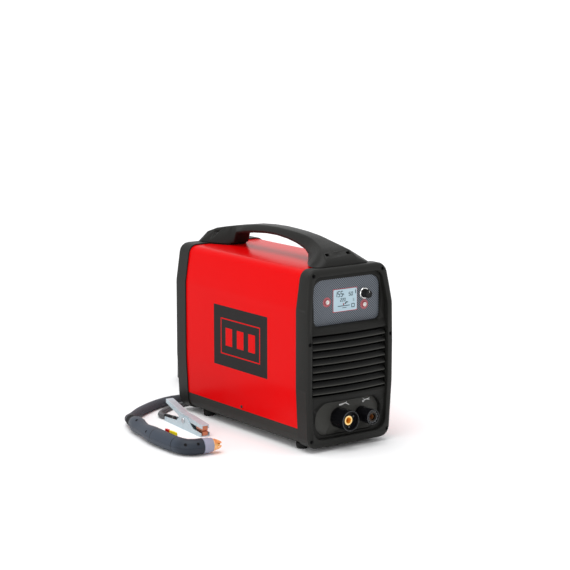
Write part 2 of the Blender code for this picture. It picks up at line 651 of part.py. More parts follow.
def cut_screw_wells(target, places, name):
    """Wells and bores for the bezel's screws."""
    wells = merged(*[rod(SCREW_WELL / 2, (x, FRONT - 0.004, z),
                         (x, FRONT + rim_setback(z) + SCREW_WELL_DEPTH, z), 12) for x, z in places])
    combine(target, place(wells, name + "_wells", None))
    bores = merged(*[rod(SCREW_SHANK / 2 + CLEARANCE, (x, FRONT, z), (x, PANEL_BACK + 0.002, z), 8)
                     for x, z in places])
    return combine(target, place(bores, name + "_bores", None))


def front_screw(name, x, z, material, root):
    """A pan-head screw at the bottom of its well."""
    seat = FRONT + rim_setback(z) + SCREW_WELL_DEPTH - CLEARANCE
    outline = [(0, -0.0026), (0.0015, -0.0024), (SCREW_HEAD / 2, -0.0010), (SCREW_HEAD / 2, 0),
               (SCREW_SHANK / 2 - 0.0001, 0), (SCREW_SHANK / 2 - 0.0001, SCREW_LENGTH),
               (0, SCREW_LENGTH)]
    return place(turned(outline, (x, seat, z), (0, 1, 0), 10), name, material, root)


# ---------------------------------------------------------------- machine: front panel
def swell(height):
    """1 in front of the grille, falling softly to 0 above it and below it."""
    def ease(share):
        share = min(max(share, 0.0), 1.0)
        return share * share * (3 - 2 * share)
    return ease((0.262 - height) / 0.062) * ease((height - 0.018) / 0.065)


def panel_rows():
    """Heights and depths behind the rim down the middle of the panel."""
    rows = [(CASE_TOP, PANEL_DEPTH), (0.2900, 0.0071), (0.2620, 0.0085), (0.2400, 0.0096),
            (LABEL_LOW + 0.0010, 0.0110), (LOUVRE_HIGH, PANEL_DEPTH + 0.0006),
            (LOUVRE_HIGH - 0.0047, PANEL_DEPTH)]
    for index in range(SLAT_COUNT):
        low = SLAT_FIRST - index * SLAT_PITCH
        rows += [(low + SLAT_PITCH - SLAT_GAP + 0.0012, PANEL_DEPTH + SLAT_LEAN + 0.0005),
                 (low - 0.0012, PANEL_DEPTH - 0.0003)]
    return rows + [(LOUVRE_LOW + 0.0012, PANEL_DEPTH + 0.0032), (LOUVRE_LOW - 0.0035, PANEL_DEPTH),
                   (0.0800, PANEL_DEPTH + 0.0010), (0.0550, 0.0072), (0.0180, 0.0078),
                   (FLOOR, 0.0080)]


def panel_body():
    loops = []
    reach = WAIST_HALF
    for height, depth in reversed(panel_rows()):
        line = []
        for step in range(7):
            x = -reach + 2 * reach * step / 6
            bow = PANEL_BOW * max(0.0, 1 - (x / PANEL_HALF) ** 2) * swell(height)
            line.append((x, FRONT + depth + rim_setback(height) - bow, height))
        loops.append(line + [(reach, PANEL_BACK, height), (-reach, PANEL_BACK, height)])
    body = lofted(loops)
    bmesh.ops.triangulate(body, faces=body.faces)
    return body


def label_corners(grow=0.0):
    corners = [(-LABEL_HALF, LABEL_LOW, LABEL_LOW_CORNER), (LABEL_HALF, LABEL_LOW, LABEL_LOW_CORNER),
               (LABEL_HALF, LABEL_HIGH, LABEL_CORNER), (-LABEL_HALF, LABEL_HIGH, LABEL_CORNER)]
    return inset_corners(corners, -grow)


def slab(corners, y_from, y_to, steps=6):
    """A rounded outline with a thickness, standing across the machine."""
    return prism(facing_front(rounded(corners, steps=steps), y_from), (0, y_to - y_from, 0))


def display_corners(grow=0.0):
    return rectangle(DISPLAY_X - DISPLAY_WIDTH / 2 - grow, DISPLAY_X + DISPLAY_WIDTH / 2 + grow,
                     DISPLAY_Z - DISPLAY_HEIGHT / 2 - grow, DISPLAY_Z + DISPLAY_HEIGHT / 2 + grow,
                     0.0020 + grow)


def control_bores(y_from, y_to):
    """Round holes for the knob's shaft and the two buttons."""
    places = [(KNOB_X, KNOB_Z, KNOB_SHAFT / 2), (-BUTTON_X, BUTTON_LEFT_Z, BUTTON_DIAMETER / 2),
              (BUTTON_X, BUTTON_RIGHT_Z, BUTTON_DIAMETER / 2)]
    return [rod(radius + RUNNING_GAP, (x, y_from, z), (x, y_to, z), 18) for x, z, radius in places]


def front_panel(material, root):
    made = place(panel_body(), "front_panel", material, root)
    outline = slab(inset_corners(opening_corners(), CLEARANCE), FRONT - 0.02, PANEL_BACK + 0.02, 4)
    combine(made, place(outline, "trim_panel", None), "INTERSECT")
    slots = []
    for index in range(-1, SLAT_COUNT):
        high = SLAT_FIRST - index * SLAT_PITCH
        slots.append(block((-SLOT_HALF - 0.0005, FRONT - 0.02, high - SLAT_GAP),
                           (SLOT_HALF + 0.0005, PANEL_BACK + 0.01, high)))
    combine(made, place(merged(*slots), "cut_grille_slots", None))
    cheeks = merged(*[sided_block(side, SLOT_HALF, WAIST_HALF, (FRONT - 0.02, FRONT + CHEEK_DEPTH),
                                  (LOUVRE_LOW + 0.0002, LOUVRE_HIGH - 0.0037)) for side in (-1, 1)])
    combine(made, place(cheeks, "cut_grille_cheeks", None))
    hollow = block((-SLOT_HALF + 0.003, FRONT + LOUVRE_BACK, LOUVRE_LOW - 0.0020),
                   (SLOT_HALF - 0.003, PANEL_BACK + 0.01, LOUVRE_HIGH - 0.0015))
    combine(made, place(hollow, "cut_grille_back", None))
    label = slab(label_corners(0.0005), FRONT - 0.02, FRONT + LABEL_RECESS_FLOOR)
    combine(made, place(label, "cut_label_recess", None))
    recess = rectangle(-SOCKET_RECESS_HALF, SOCKET_RECESS_HALF, SOCKET_RECESS_LOW,
                       SOCKET_RECESS_HIGH, SOCKET_RECESS_CORNER)
    combine(made, place(slab(recess, FRONT - 0.02, FRONT + SOCKET_FLOOR, 8),
                        "cut_socket_recess", None))
    y_from, y_to = FRONT + 0.010, PANEL_BACK + 0.01
    window = block((DISPLAY_X - 0.023, y_from, DISPLAY_Z - 0.0168),
                   (DISPLAY_X + 0.023, y_to, DISPLAY_Z + 0.0168))
    openings = control_bores(y_from, y_to) + [window]
    openings += [rod(diameter / 2 - SOCKET_SHANK + CLEARANCE, (x, y_from, SOCKET_Z),
                     (x, y_to, SOCKET_Z), 24)
                 for x, diameter in ((TORCH_SOCKET_X, TORCH_SOCKET_DIAMETER),
                                     (CLAMP_SOCKET_X, CLAMP_SOCKET_DIAMETER))]
    combine(made, place(merged(*openings), "cut_panel_openings", None))
    bosses = [rod(0.0035, (x, FRONT + LABEL_RECESS_FLOOR + 0.002, z), (x, BOARD_FACE - CLEARANCE, z), 10)
              for x, z in board_corners()]
    return combine(made, place(merged(*bosses), "add_board_bosses", None), "UNION")


def board_corners():
    return [(side * (BOARD_HALF - BOSS_INSET), z) for side in (-1, 1)
            for z in (BOARD_LOW + BOSS_INSET, BOARD_HIGH - BOSS_INSET)]


def control_label(material, root):
    y_from, y_to = LABEL_FACE, LABEL_FACE + LABEL_THICK
    made = place(slab(label_corners(), y_from, y_to), "control_label", material, root)
    window = slab(display_corners(CLEARANCE), y_from - 0.01, y_to + 0.01, 3)
    openings = merged(window, *control_bores(y_from - 0.01, y_to + 0.01))
    return combine(made, place(openings, "cut_label_openings", None))


def display(material, root):
    """The lens with its display module behind it."""
    back = FRONT + LABEL_RECESS_FLOOR - CLEARANCE
    made = place(slab(display_corners(), back - DISPLAY_THICK, back, 3), "display", material, root)
    module = block((DISPLAY_X - 0.0227, back - 0.0005, DISPLAY_Z - 0.0165),
                   (DISPLAY_X + 0.0227, BOARD_FACE - CLEARANCE, DISPLAY_Z + 0.0165))
    return combine(made, place(module, "add_display_module", None), "UNION")


def knob_collar(material, root):
    outer, inner = COLLAR_DIAMETER / 2, KNOB_DIAMETER / 2 + RUNNING_GAP
    back = -CLEARANCE
    outline = [(inner, back), (outer, back), (outer, -COLLAR_HEIGHT + 0.0010),
               (outer - 0.0008, -COLLAR_HEIGHT), (inner, -COLLAR_HEIGHT)]
    return place(turned(outline, (KNOB_X, LABEL_FACE, KNOB_Z), (0, 1, 0), 24), "knob_collar",
                 material, root)


def encoder_knob(material, joint):
    """A fluted knob on the encoder's shaft."""
    loops = []
    base = LABEL_FACE - RUNNING_GAP
    for depth, radius, flute in ((0.0, KNOB_DIAMETER / 2, 0.0), (0.0020, KNOB_DIAMETER / 2, 0.0),
                                 (0.0022, KNOB_DIAMETER / 2, 0.0005),
                                 (KNOB_LENGTH - 0.0015, KNOB_DIAMETER / 2 - 0.0003, 0.0005),
                                 (KNOB_LENGTH, KNOB_DIAMETER / 2 - 0.0013, 0.0)):
        loops.append([(KNOB_X + (radius - flute * (step % 2)) * math.cos(math.tau * step / 28),
                       base - depth,
                       KNOB_Z + (radius - flute * (step % 2)) * math.sin(math.tau * step / 28))
                      for step in range(28)])
    made = place(lofted(loops), "encoder_knob", material, joint)
    shaft = rod(KNOB_SHAFT / 2, (KNOB_X, base - 0.001, KNOB_Z), (KNOB_X, BOARD_FACE - 0.0068, KNOB_Z), 12)
    return combine(made, place(shaft, "add_knob_shaft", None), "UNION")


def button(name, x, z, material, joint):
    """A cap with a flange behind the panel and a stem that reaches to its switch."""
    radius = BUTTON_DIAMETER / 2
    cap = LABEL_DEPTH - BUTTON_PROUD
    flange = RIM_SOLID + CLEARANCE
    end = BOARD_DEPTH - SWITCH_HEIGHT - BUTTON_TRAVEL - CLEARANCE
    outline = [(0, cap), (radius - 0.0008, cap), (radius, cap + 0.0008), (radius, flange),
               (radius + 0.0015, flange), (radius + 0.0015, flange + 0.0010),
               (BUTTON_STEM / 2, flange + 0.0010), (BUTTON_STEM / 2, end), (0, end)]
    return place(turned(outline, (x, FRONT, z), (0, 1, 0), 14), name, material, joint)


def control_board(material, root):
    made = place(block((-BOARD_HALF, BOARD_FACE, BOARD_LOW),
                       (BOARD_HALF, BOARD_FACE + BOARD_THICK, BOARD_HIGH)),
                 "control_board", material, root)
    bumps = [block((x - half, BOARD_FACE - height, z - half), (x + half, BOARD_FACE + 0.0005, z + half))
             for x, z, half, height in ((KNOB_X, KNOB_Z, 0.0060, 0.0065),
                                        (-BUTTON_X, BUTTON_LEFT_Z, 0.0030, SWITCH_HEIGHT),
                                        (BUTTON_X, BUTTON_RIGHT_Z, 0.0030, SWITCH_HEIGHT))]
    bumps.append(block((-0.040, BOARD_FACE + BOARD_THICK - 0.0005, 0.226),
                       (0.010, BOARD_FACE + 0.010, 0.238)))
    return combine(made, place(merged(*bumps), "add_board_parts", None), "UNION")


def socket(name, x, diameter, wall, cup, contact, material, root):
    """A round socket with its cup in front of the panel and its shank through it."""
    outer, seat = diameter / 2, SOCKET_FLOOR - CLEARANCE
    lip, floor = -SOCKET_REACH, -SOCKET_REACH + cup
    shank = outer - SOCKET_SHANK
    outline = [(outer, seat), (outer, lip + 0.0010), (outer - 0.0010, lip), (outer - wall, lip),
               (outer - wall, floor),
               (contact / 2 + CLEARANCE, floor), (contact / 2 + CLEARANCE, floor + 0.0030),
               (CONTACT_STUD + CLEARANCE, floor + 0.0030), (CONTACT_STUD + CLEARANCE, SOCKET_END),
               (shank, SOCKET_END), (shank, seat)]
    return place(turned(outline, (x, FRONT, SOCKET_Z), (0, 1, 0), 24), name, material, root)


def contact(name, x, cup, diameter, bore, material, root):
    """A brass face with a bore, on a stud that runs back through the socket."""
    front = -SOCKET_REACH + cup - 0.0004
    neck = min(bore / 2, CONTACT_STUD - 0.0014)
    outline = [(0, front + 0.0220), (neck, front + 0.0220), (neck, front + 0.0028),
               (bore / 2, front + 0.0028), (bore / 2, front), (diameter / 2, front),
               (diameter / 2, front + 0.0031), (CONTACT_STUD, front + 0.0031),
               (CONTACT_STUD, SOCKET_END + 0.006), (0, SOCKET_END + 0.006)]
    if bore / 2 <= neck:
        del outline[2:4]
    return place(turned(outline, (x, FRONT, SOCKET_Z), (0, 1, 0), 20), name, material, root)


# ---------------------------------------------------------------- machine: rear
def rear_panel(material, root):
    y_from = REAR - REAR_PANEL_DEPTH - REAR_SHEET
    y_to = REAR - REAR_PANEL_DEPTH
    made = place(slab(inset_corners(opening_corners(), CLEARANCE), y_from, y_to, 4), "rear_panel",
                 material, root)
    slots = []
    for row in range(-4, 5):
        z = FAN_Z + row * GRILLE_PITCH
        reach = math.sqrt((FAN_BORE / 2 - 0.001) ** 2 - (row * GRILLE_PITCH) ** 2) - 0.0015
        slots += [sided_block(side, 0.003, reach, (y_from - 0.01, y_to + 0.01),
                              (z - GRILLE_SLOT / 2, z + GRILLE_SLOT / 2)) for side in (-1, 1)]
    combine(made, place(merged(*slots), "cut_fan_grille", None))
    half = SWITCH_BODY / 2 + CLEARANCE
    body = block((SWITCH_X - half, y_from - 0.01, SWITCH_Z - half),
                 (SWITCH_X + half, y_to + 0.01, SWITCH_Z + half))
    bores = [rod(radius + CLEARANCE, (x, y_from - 0.01, z), (x, y_to + 0.01, z), 16)
             for x, z, radius in ((GLAND_X, GLAND_Z, 0.0097), (INLET_X, INLET_Z, 0.0057))]
    return combine(made, place(merged(body, *bores), "cut_rear_holes", None))


def fan_frame(material, root):
    y_to = REAR - REAR_PANEL_DEPTH - REAR_SHEET - CLEARANCE
    y_from = y_to - FAN_DEPTH
    half = FAN_SIZE / 2
    made = place(block((-half, y_from, FAN_Z - half), (half, y_to, FAN_Z + half), 0.0026, 1),
                 "fan_frame", material, root)
    bore = rod(FAN_BORE / 2, (0, y_from - 0.01, FAN_Z), (0, y_to + 0.01, FAN_Z), 28)
    combine(made, place(bore, "cut_fan_bore", None))
    boss = rod(FAN_HUB / 2, (0, y_from, FAN_Z), (0, y_from + 0.0040, FAN_Z), 20)
    combine(made, place(boss, "add_fan_boss", None), "UNION")
    for name, half_x, half_z in (("across", FAN_BORE / 2 + 0.001, 0.0025),
                                 ("upright", 0.0025, FAN_BORE / 2 + 0.001)):
        bar = block((-half_x, y_from + 0.0003, FAN_Z - half_z), (half_x, y_from + 0.0037, FAN_Z + half_z))
        combine(made, place(bar, "add_fan_spoke_" + name, None), "UNION")
    return made


def fan_rotor(material, joint):
    """Hub and blades, which turn in front of the frame's boss."""
    y_to = REAR - REAR_PANEL_DEPTH - REAR_SHEET - CLEARANCE - 0.004
    y_from = y_to - FAN_DEPTH + 0.004 + 0.0040 + RUNNING_GAP
    outline = [(0, 0), (FAN_HUB / 2, 0), (FAN_HUB / 2, y_to - y_from - 0.002),
               (FAN_HUB / 2 - 0.002, y_to - y_from), (0, y_to - y_from)]
    made = place(turned(outline, (0, y_from, FAN_Z), (0, 1, 0), 20), "fan_rotor", material, joint)
    blades = []
    middle = (y_from + y_to) / 2
    for index in range(FAN_BLADES):
        start = math.tau * index / FAN_BLADES
        loops = []
        for radius, pitch, chord in ((FAN_HUB / 2 - 0.002, 52, 0.024), (0.036, 40, 0.029),
                                     (FAN_BORE / 2 - 0.0015, 30, 0.034)):
            lean, loop = math.radians(pitch), []
            for along, across in ((-0.5, -0.0008), (0.5, -0.0008), (0.5, 0.0008), (-0.5, 0.0008)):
                sweep = chord * along * math.cos(lean) - across * math.sin(lean)
                rise = chord * along * math.sin(lean) + across * math.cos(lean)
                angle = start + sweep / radius
                loop.append((radius * math.cos(angle), middle + rise * 0.9,
                             FAN_Z + radius * math.sin(angle)))
            loops.append(loop)
        blades.append(lofted(loops))
    return combine(made, place(merged(*blades), "add_fan_blades", None), "UNION")


def mains_switch(material, root):
    face = REAR - REAR_PANEL_DEPTH + CLEARANCE
    half = SWITCH_PLATE / 2
    made = place(block((SWITCH_X - half, face, SWITCH_Z - half),
                       (SWITCH_X + half, face + 0.003, SWITCH_Z + half), 0.0012, 1),
                 "mains_switch", material, root)
    half = SWITCH_BODY / 2
    body = block((SWITCH_X - half, face - SWITCH_BODY_DEPTH, SWITCH_Z - half),
                 (SWITCH_X + half, face + 0.001, SWITCH_Z + half))
    return combine(made, place(body, "add_switch_body", None), "UNION")


def mains_switch_knob(material, joint):
    """A disc with a bar grip across it, upright when off."""
    face = REAR - REAR_PANEL_DEPTH + CLEARANCE + 0.003 + RUNNING_GAP
    outline = [(0, 0), (SWITCH_KNOB / 2, 0), (SWITCH_KNOB / 2, 0.0030),
               (SWITCH_KNOB / 2 - 0.001, 0.0040), (0, 0.0040)]
    made = place(turned(outline, (SWITCH_X, face, SWITCH_Z), (0, 1, 0), 24), "mains_switch_knob",
                 material, joint)
    grip = block((SWITCH_X - 0.0045, face + 0.001, SWITCH_Z - 0.0165),
                 (SWITCH_X + 0.0045, face + 0.0155, SWITCH_Z + 0.0165), 0.0015, 1)
    return combine(made, place(grip, "add_switch_grip", None), "UNION")


def cable_gland(material, root):
    radius = GLAND_DIAMETER / 2
    outline = [(0.0050, -0.006), (0.0090, -0.006), (0.0120, -0.003), (0.0120, 0.005),
               (radius, 0.005), (radius, REAR_PANEL_DEPTH - CLEARANCE),
               (0.0097, REAR_PANEL_DEPTH - CLEARANCE), (0.0097, 0.020), (0.0050, 0.020)]
    return place(turned(outline, (GLAND_X, REAR, GLAND_Z), (0, -1, 0), 14), "cable_gland",
                 material, root)


def air_inlet(material, root):
    """A hexagon with a barbed tail for the air hose; its shank reaches the valve."""
    centre, inwards = (INLET_X, REAR, INLET_Z), (0, -1, 0)
    across = INLET_HEX / math.sqrt(3)
    made = place(turned([(0, 0.0040), (across, 0.0040), (across, REAR_PANEL_DEPTH - CLEARANCE),
                         (0, REAR_PANEL_DEPTH - CLEARANCE)], centre, inwards, 6),
                 "air_inlet", material, root)
    tail = [(0, -0.0090), (0.0035, -0.0090), (0.0047, -0.0055), (0.0040, -0.0050),
            (0.0047, -0.0015), (0.0040, -0.0010), (0.0057, 0.0040), (0.0057, 0.0242), (0, 0.0242)]
    combine(made, place(turned(tail, centre, inwards, 12), "add_inlet_tail", None), "UNION")
    bore = rod(0.0024, (INLET_X, REAR + 0.02, INLET_Z), (INLET_X, REAR - 0.03, INLET_Z), 8)
    return combine(made, place(bore, "cut_inlet_bore", None))


# ---------------------------------------------------------------- machine: inside
def heatsink(material, root):
    """An extruded comb, standing on the tray."""
    low = TRAY_TOP + CLEARANCE
    left, step = -HEATSINK_WIDTH / 2, (HEATSINK_HEIGHT - FIN_THICK) / (HEATSINK_FINS - 1)
    outline = [(left, low), (-left, low)]
    for index in range(HEATSINK_FINS):
        z = low + index * step
        if index:
            outline += [(left + HEATSINK_BASE, z), (-left, z)]
        outline += [(-left, z + FIN_THICK)]
        if index < HEATSINK_FINS - 1:
            outline += [(left + HEATSINK_BASE, z + FIN_THICK)]
    outline += [(left, low + HEATSINK_HEIGHT)]
    half = HEATSINK_LENGTH / 2
    return place(prism(facing_front(outline, -half), (0, HEATSINK_LENGTH, 0)), "heatsink",
                 material, root, smooth=False)


def board_side():
    """Left face of the upright power board."""
    return -HEATSINK_WIDTH / 2 - CLEARANCE - BOARD_THICK


def power_board(material, root):
    low = TRAY_TOP + CLEARANCE
    half = POWER_BOARD_LENGTH / 2
    return place(block((board_side(), -half, low),
                       (board_side() + BOARD_THICK, half, low + POWER_BOARD_HEIGHT)),
                 "power_board", material, root, smooth=False)


def capacitor(name, y, material, root):
    radius = CAPACITOR_DIAMETER / 2
    outline = [(0, 0), (radius - 0.001, 0), (radius, 0.001), (radius, CAPACITOR_HEIGHT - 0.001),
               (radius - 0.001, CAPACITOR_HEIGHT), (0, CAPACITOR_HEIGHT)]
    centre = (board_side() - CLEARANCE, y, 0.135)
    return place(turned(outline, centre, (-1, 0, 0), 16), name, material, root)


def core_box():
    """Low and high corner of the transformer's core."""
    low_x, low_y = -0.0690, 0.025
    low = TRAY_TOP + CLEARANCE
    return (low_x, low_y, low), (low_x + CORE_WIDTH, low_y + CORE_LENGTH, low + CORE_HEIGHT)


def transformer_core(material, root):
    low, high = core_box()
    made = place(block(low, high), "transformer_core", material, root, smooth=False)
    windows = [block((low[0] - 0.01, y, low[2] + CORE_LIMB),
                     (high[0] + 0.01, y + CORE_WINDOW, high[2] - CORE_LIMB))
               for y in (low[1] + CORE_LIMB, high[1] - CORE_LIMB - CORE_WINDOW)]
    return combine(made, place(merged(*windows), "cut_core_windows", None))


def transformer_winding(material, root):
    low, high = core_box()
    bottom, top = low[2] + CORE_LIMB + CLEARANCE, high[2] - CORE_LIMB - CLEARANCE
    y_from, y_to = low[1] + CORE_LIMB + 0.0005, high[1] - CORE_LIMB - 0.0005
    made = place(block((low[0] - WINDING_BULGE, y_from, bottom),
                       (high[0] + WINDING_BULGE, y_to, top), 0.003, 2),
                 "transformer_winding", material, root)
    limb = block((low[0] - CLEARANCE, low[1] + CORE_LIMB + CORE_WINDOW - CLEARANCE, bottom - 0.01),
                 (high[0] + CLEARANCE, high[1] - CORE_LIMB - CORE_WINDOW + CLEARANCE, top + 0.01))
    return combine(made, place(limb, "cut_winding_limb", None))


def air_valve(material, root):
    y_to = REAR - 0.0242 - CLEARANCE
    half = VALVE_SIZE / 2
    return place(block((INLET_X - half, y_to - VALVE_SIZE, TRAY_TOP + CLEARANCE),
                       (INLET_X + half, y_to, TRAY_TOP + CLEARANCE + VALVE_HEIGHT), 0.0015, 1),
                 "air_valve", material, root)


# ---------------------------------------------------------------- handle
def handle(material, root):
    """The grip with its two feet; pads carry the feet down to the cover."""
    loops = []
    for y, top, bottom, half_top, half_bottom, top_edge, bottom_edge in HANDLE_STATIONS:
        corners = [(-half_bottom, bottom, bottom_edge), (half_bottom, bottom, bottom_edge),
                   (half_top, top, top_edge), (-half_top, top, top_edge)]
        loops.append(facing_front(rounded(corners, steps=3), y))
    made = place(lofted(loops), "handle", material, root)
    low = CASE_TOP - BEZEL_PROUD + CLEARANCE
    pads = [prism([(-near, y_near, low), (near, y_near, low), (far, y_far, low), (-far, y_far, low)],
                  (0, 0, CASE_TOP + 0.002 - low)) for (y_near, near), (y_far, far) in HANDLE_PADS]
    combine(made, place(merged(*pads), "add_handle_pads", None), "UNION")
    slots = [block((side * STRAP_SLOT_X - STRAP_SLOT[0] / 2, y_from, z - STRAP_SLOT[1] / 2),
                   (side * STRAP_SLOT_X + STRAP_SLOT[0] / 2, y_to, z + STRAP_SLOT[1] / 2))
             for y_from, y_to, z in STRAP_SLOTS for side in (-1, 1)]
    return combine(made, place(merged(*slots), "cut_strap_slots", None))


# ---------------------------------------------------------------- torch
def torch_route():
    """(centre, direction, radius) along the handle, rear to head."""
    points = smooth_route(TORCH_STATIONS, 0.0135)
    route = []
    for index, point in enumerate(points):
        before, after = points[max(index - 1, 0)], points[min(index + 1, len(points) - 1)]
        route.append((Vector((point.x, point.y, TORCH_HEIGHT)),
                      (after - before).xy.to_3d().normalized(), point.z))
    return route


def torch_shell(name, up, material, body):
    """Half of the handle: up is +1 for the upper half and -1 for the lower one."""
    route = torch_route()
    length = sum((b[0] - a[0]).length for a, b in zip(route, route[1:]))
    walked, loops = 0.0, []
    for index, (centre, ahead, radius) in enumerate(route):
        if index:
            walked += (centre - route[index - 1][0]).length
        aside = Vector((ahead.y, -ahead.x, 0))
        held = min(walked, length - walked) < TORCH_GRIP
        inner = TORCH_NECK + CLEARANCE if held else radius - TORCH_WALL
        high = min(radius, TORCH_RADIUS - CLEARANCE)
        split = Vector((0, 0, up * CLEARANCE / 2))
        outside = [centre + split + aside * radius * math.cos(a) + Vector((0, 0, up * high * math.sin(a)))
                   for a in (math.pi * step / 8 for step in range(9))]
        inside = [centre + split + aside * inner * math.cos(a)
                  + Vector((0, 0, up * min(inner, high - TORCH_WALL) * math.sin(a)))
                  for a in (math.pi * (6 - step) / 6 for step in range(7))]
        loops.append(outside + inside)
    made = place(lofted(loops), name, material, body)
    y_from, y_to, half = TRIGGER_SLOT
    slot = block((-0.2620, y_from, TORCH_HEIGHT - half), (-0.2300, y_to, TORCH_HEIGHT + half))
    combine(made, place(slot, f"cut_{name}_slot", None))
    pins = [rod(TRIGGER_PIN + CLEARANCE, (x, y, TORCH_HEIGHT - 0.0098), (x, y, TORCH_HEIGHT + 0.0098), 12)
            for x, y in (TRIGGER_PIVOT, SAFETY_PIVOT)]
    return combine(made, place(merged(*pins), f"cut_{name}_pins", None))


def tube_along(route, radii):
    """A round bar along a route of (centre, direction) with a radius at each point."""
    loops = []
    for (centre, ahead), radius in zip(route, radii):
        aside = Vector((ahead.y, -ahead.x, 0)).normalized()
        up = aside.cross(ahead).normalized()
        loops.append([centre + aside * radius * math.cos(a) + up * radius * math.sin(a)
                      for a in (math.tau * step / 14 for step in range(14))])
    return lofted(loops)


def torch_head(material, body):
    """The head, its neck between the shells and the tube that runs back to the hose."""
    route = torch_route()
    end, ahead, _ = route[-1]
    places = [(centre, way) for centre, way, _ in route[1:-1] if (centre - end).dot(ahead) < -0.0085
              or (centre - end).length > 0.03]
    radii = [TUBE_RADIUS] * len(places)
    for along, radius in ((-0.0075, TUBE_RADIUS), (-0.0072, TORCH_NECK), (0.0004, TORCH_NECK),
                          (0.0006, 0.0128), (0.0020, 0.0136), (0.0120, 0.0134),
                          (0.0140, 0.0126), (HEAD_LENGTH, 0.0122)):
        places.append((end + ahead * along, ahead))
        radii.append(radius)
    return place(tube_along(places, radii), "torch_head", material, body)


def torch_nozzle(material, body):
    """The copper shield with its crown of teeth and its bore."""
    end, ahead, _ = torch_route()[-1]
    start = end + ahead * (HEAD_LENGTH + CLEARANCE)
    outline = [(0.0060, 0), (0.0116, 0), (0.0112, 0.0060), (0.0104, NOZZLE_LENGTH),
               (0.0068, NOZZLE_LENGTH), (0.0060, NOZZLE_LENGTH - 0.0015)]
    made = place(turned(outline, start, ahead, 20), "torch_nozzle", material, body)
    aside = Vector((ahead.y, -ahead.x, 0))
    gaps = []
    for index in range(3):
        angle = math.pi * index / 3 + 0.26
        across = aside * math.cos(angle) + Vector((0, 0, 1)) * math.sin(angle)
        side = ahead.cross(across)
        tip = start + ahead * (NOZZLE_LENGTH + 0.002)
        corners = [tip + across * a + side * b for a, b in
                   ((-0.02, -0.0016), (0.02, -0.0016), (0.02, 0.0016), (-0.02, 0.0016))]
        gaps.append(prism(corners, -ahead * 0.0052))
    for index, gap in enumerate(gaps):
        combine(made, place(gap, f"cut_nozzle_{index}", None))
    return made


def lever(name, outline, pad, pivot_xy, material, joint):
    """A flat lever in the torch's slot, with its finger pad and a pin through both shells."""
    half = TRIGGER_SLOT[2] - CLEARANCE
    corners = [(x, y, TORCH_HEIGHT - half) for x, y in outline]
    made = place(prism(corners, (0, 0, 2 * half)), name, material, joint)
    pin = rod(TRIGGER_PIN, (*pivot_xy, TORCH_HEIGHT - 0.0094), (*pivot_xy, TORCH_HEIGHT + 0.0094), 12)
    wing = prism([(x, y, TORCH_HEIGHT - PAD_HALF) for x, y in pad], (0, 0, 2 * PAD_HALF))
    return combine(made, place(merged(pin, wing), f"add_{name}_parts", None), "UNION")


def hose_boot(material, body):
    """The boot at the rear of the handle: a neck inside the shells, then a sleeve to the hose."""
    end, ahead, _ = torch_route()[0]
    back = -ahead
    start = end - back * (TORCH_GRIP + 0.001)
    grip = TORCH_GRIP + 0.001
    outline = [(0, 0), (TORCH_NECK, 0), (TORCH_NECK, grip + CLEARANCE), (0.0113, grip + CLEARANCE),
               (0.0113, grip + 0.0050), (0.0107, grip + 0.0070),
               (HOSE_DIAMETER / 2 + 0.0015, grip + BOOT_LENGTH), (0, grip + BOOT_LENGTH)]
    return place(turned(outline, start, back, 20), "hose_boot", material, body)


# ---------------------------------------------------------------- leads
def lead_points(route, diameter):
    return [Vector((x, y, FLOOR + diameter / 2 + lift)) for x, y, lift in route]


def lead(name, route, diameter, plan, material, body):
    """The stretch of a lead that lies loose on the floor, up to where it meets its coil."""
    radius, centre = plan
    wall = radius + diameter * COIL_TURNS / 2
    rim = diameter / 2 * math.cos(math.pi / LEAD_SIDES)
    whole, fine = smooth_route(lead_points(route, diameter), 0.001), []
    for point, following in zip(whole, whole[1:]):
        ahead = (following - point).normalized()
        inwards = (centre - point).xy.to_3d()
        beside = (inwards - ahead * inwards.dot(ahead)).normalized() * rim
        if (point + beside - centre).xy.length < wall + CLEARANCE:
            break
        fine.append(point)
    points = smooth_route(fine[:-1:6] + fine[-1:], diameter * 2.2)
    points.insert(1, points[0] + (fine[1] - fine[0]).normalized() * diameter / 4)
    curve = bpy.data.curves.new(name, "CURVE")
    curve.dimensions = "3D"
    curve.bevel_depth = diameter / 2
    curve.bevel_resolution = LEAD_SIDES // 2 - 2
    curve.use_fill_caps = True
    curve.twist_mode = "Z_UP"
    spline = curve.splines.new("POLY")
    spline.points.add(len(points) - 1)
    for knot, point in zip(spline.points, points):
        knot.co = (*point, 1.0)
    curve.materials.append(material)
    return hang(bpy.data.objects.new(name, curve), body)


def coil_plan(route, diameter, length, start_angle):
    """Mean radius and centre of the coil that takes up the rest of a lead."""
    points = smooth_route(lead_points(route, diameter), 0.01)
    loose = sum((b - a).length for a, b in zip(points, points[1:]))
    turns = COIL_TURNS * COIL_TURNS - 1         # the climbs between the layers take one turn's room
    radius = (length - loose) / (math.tau * turns + math.radians(TAIL_ANGLE))
    outermost = radius + diameter * (COIL_TURNS - 1) / 2
    end = points[-1]
    centre = Vector((end.x - outermost * math.cos(start_angle),
                     end.y - outermost * math.sin(start_angle), FLOOR))
    return radius, centre


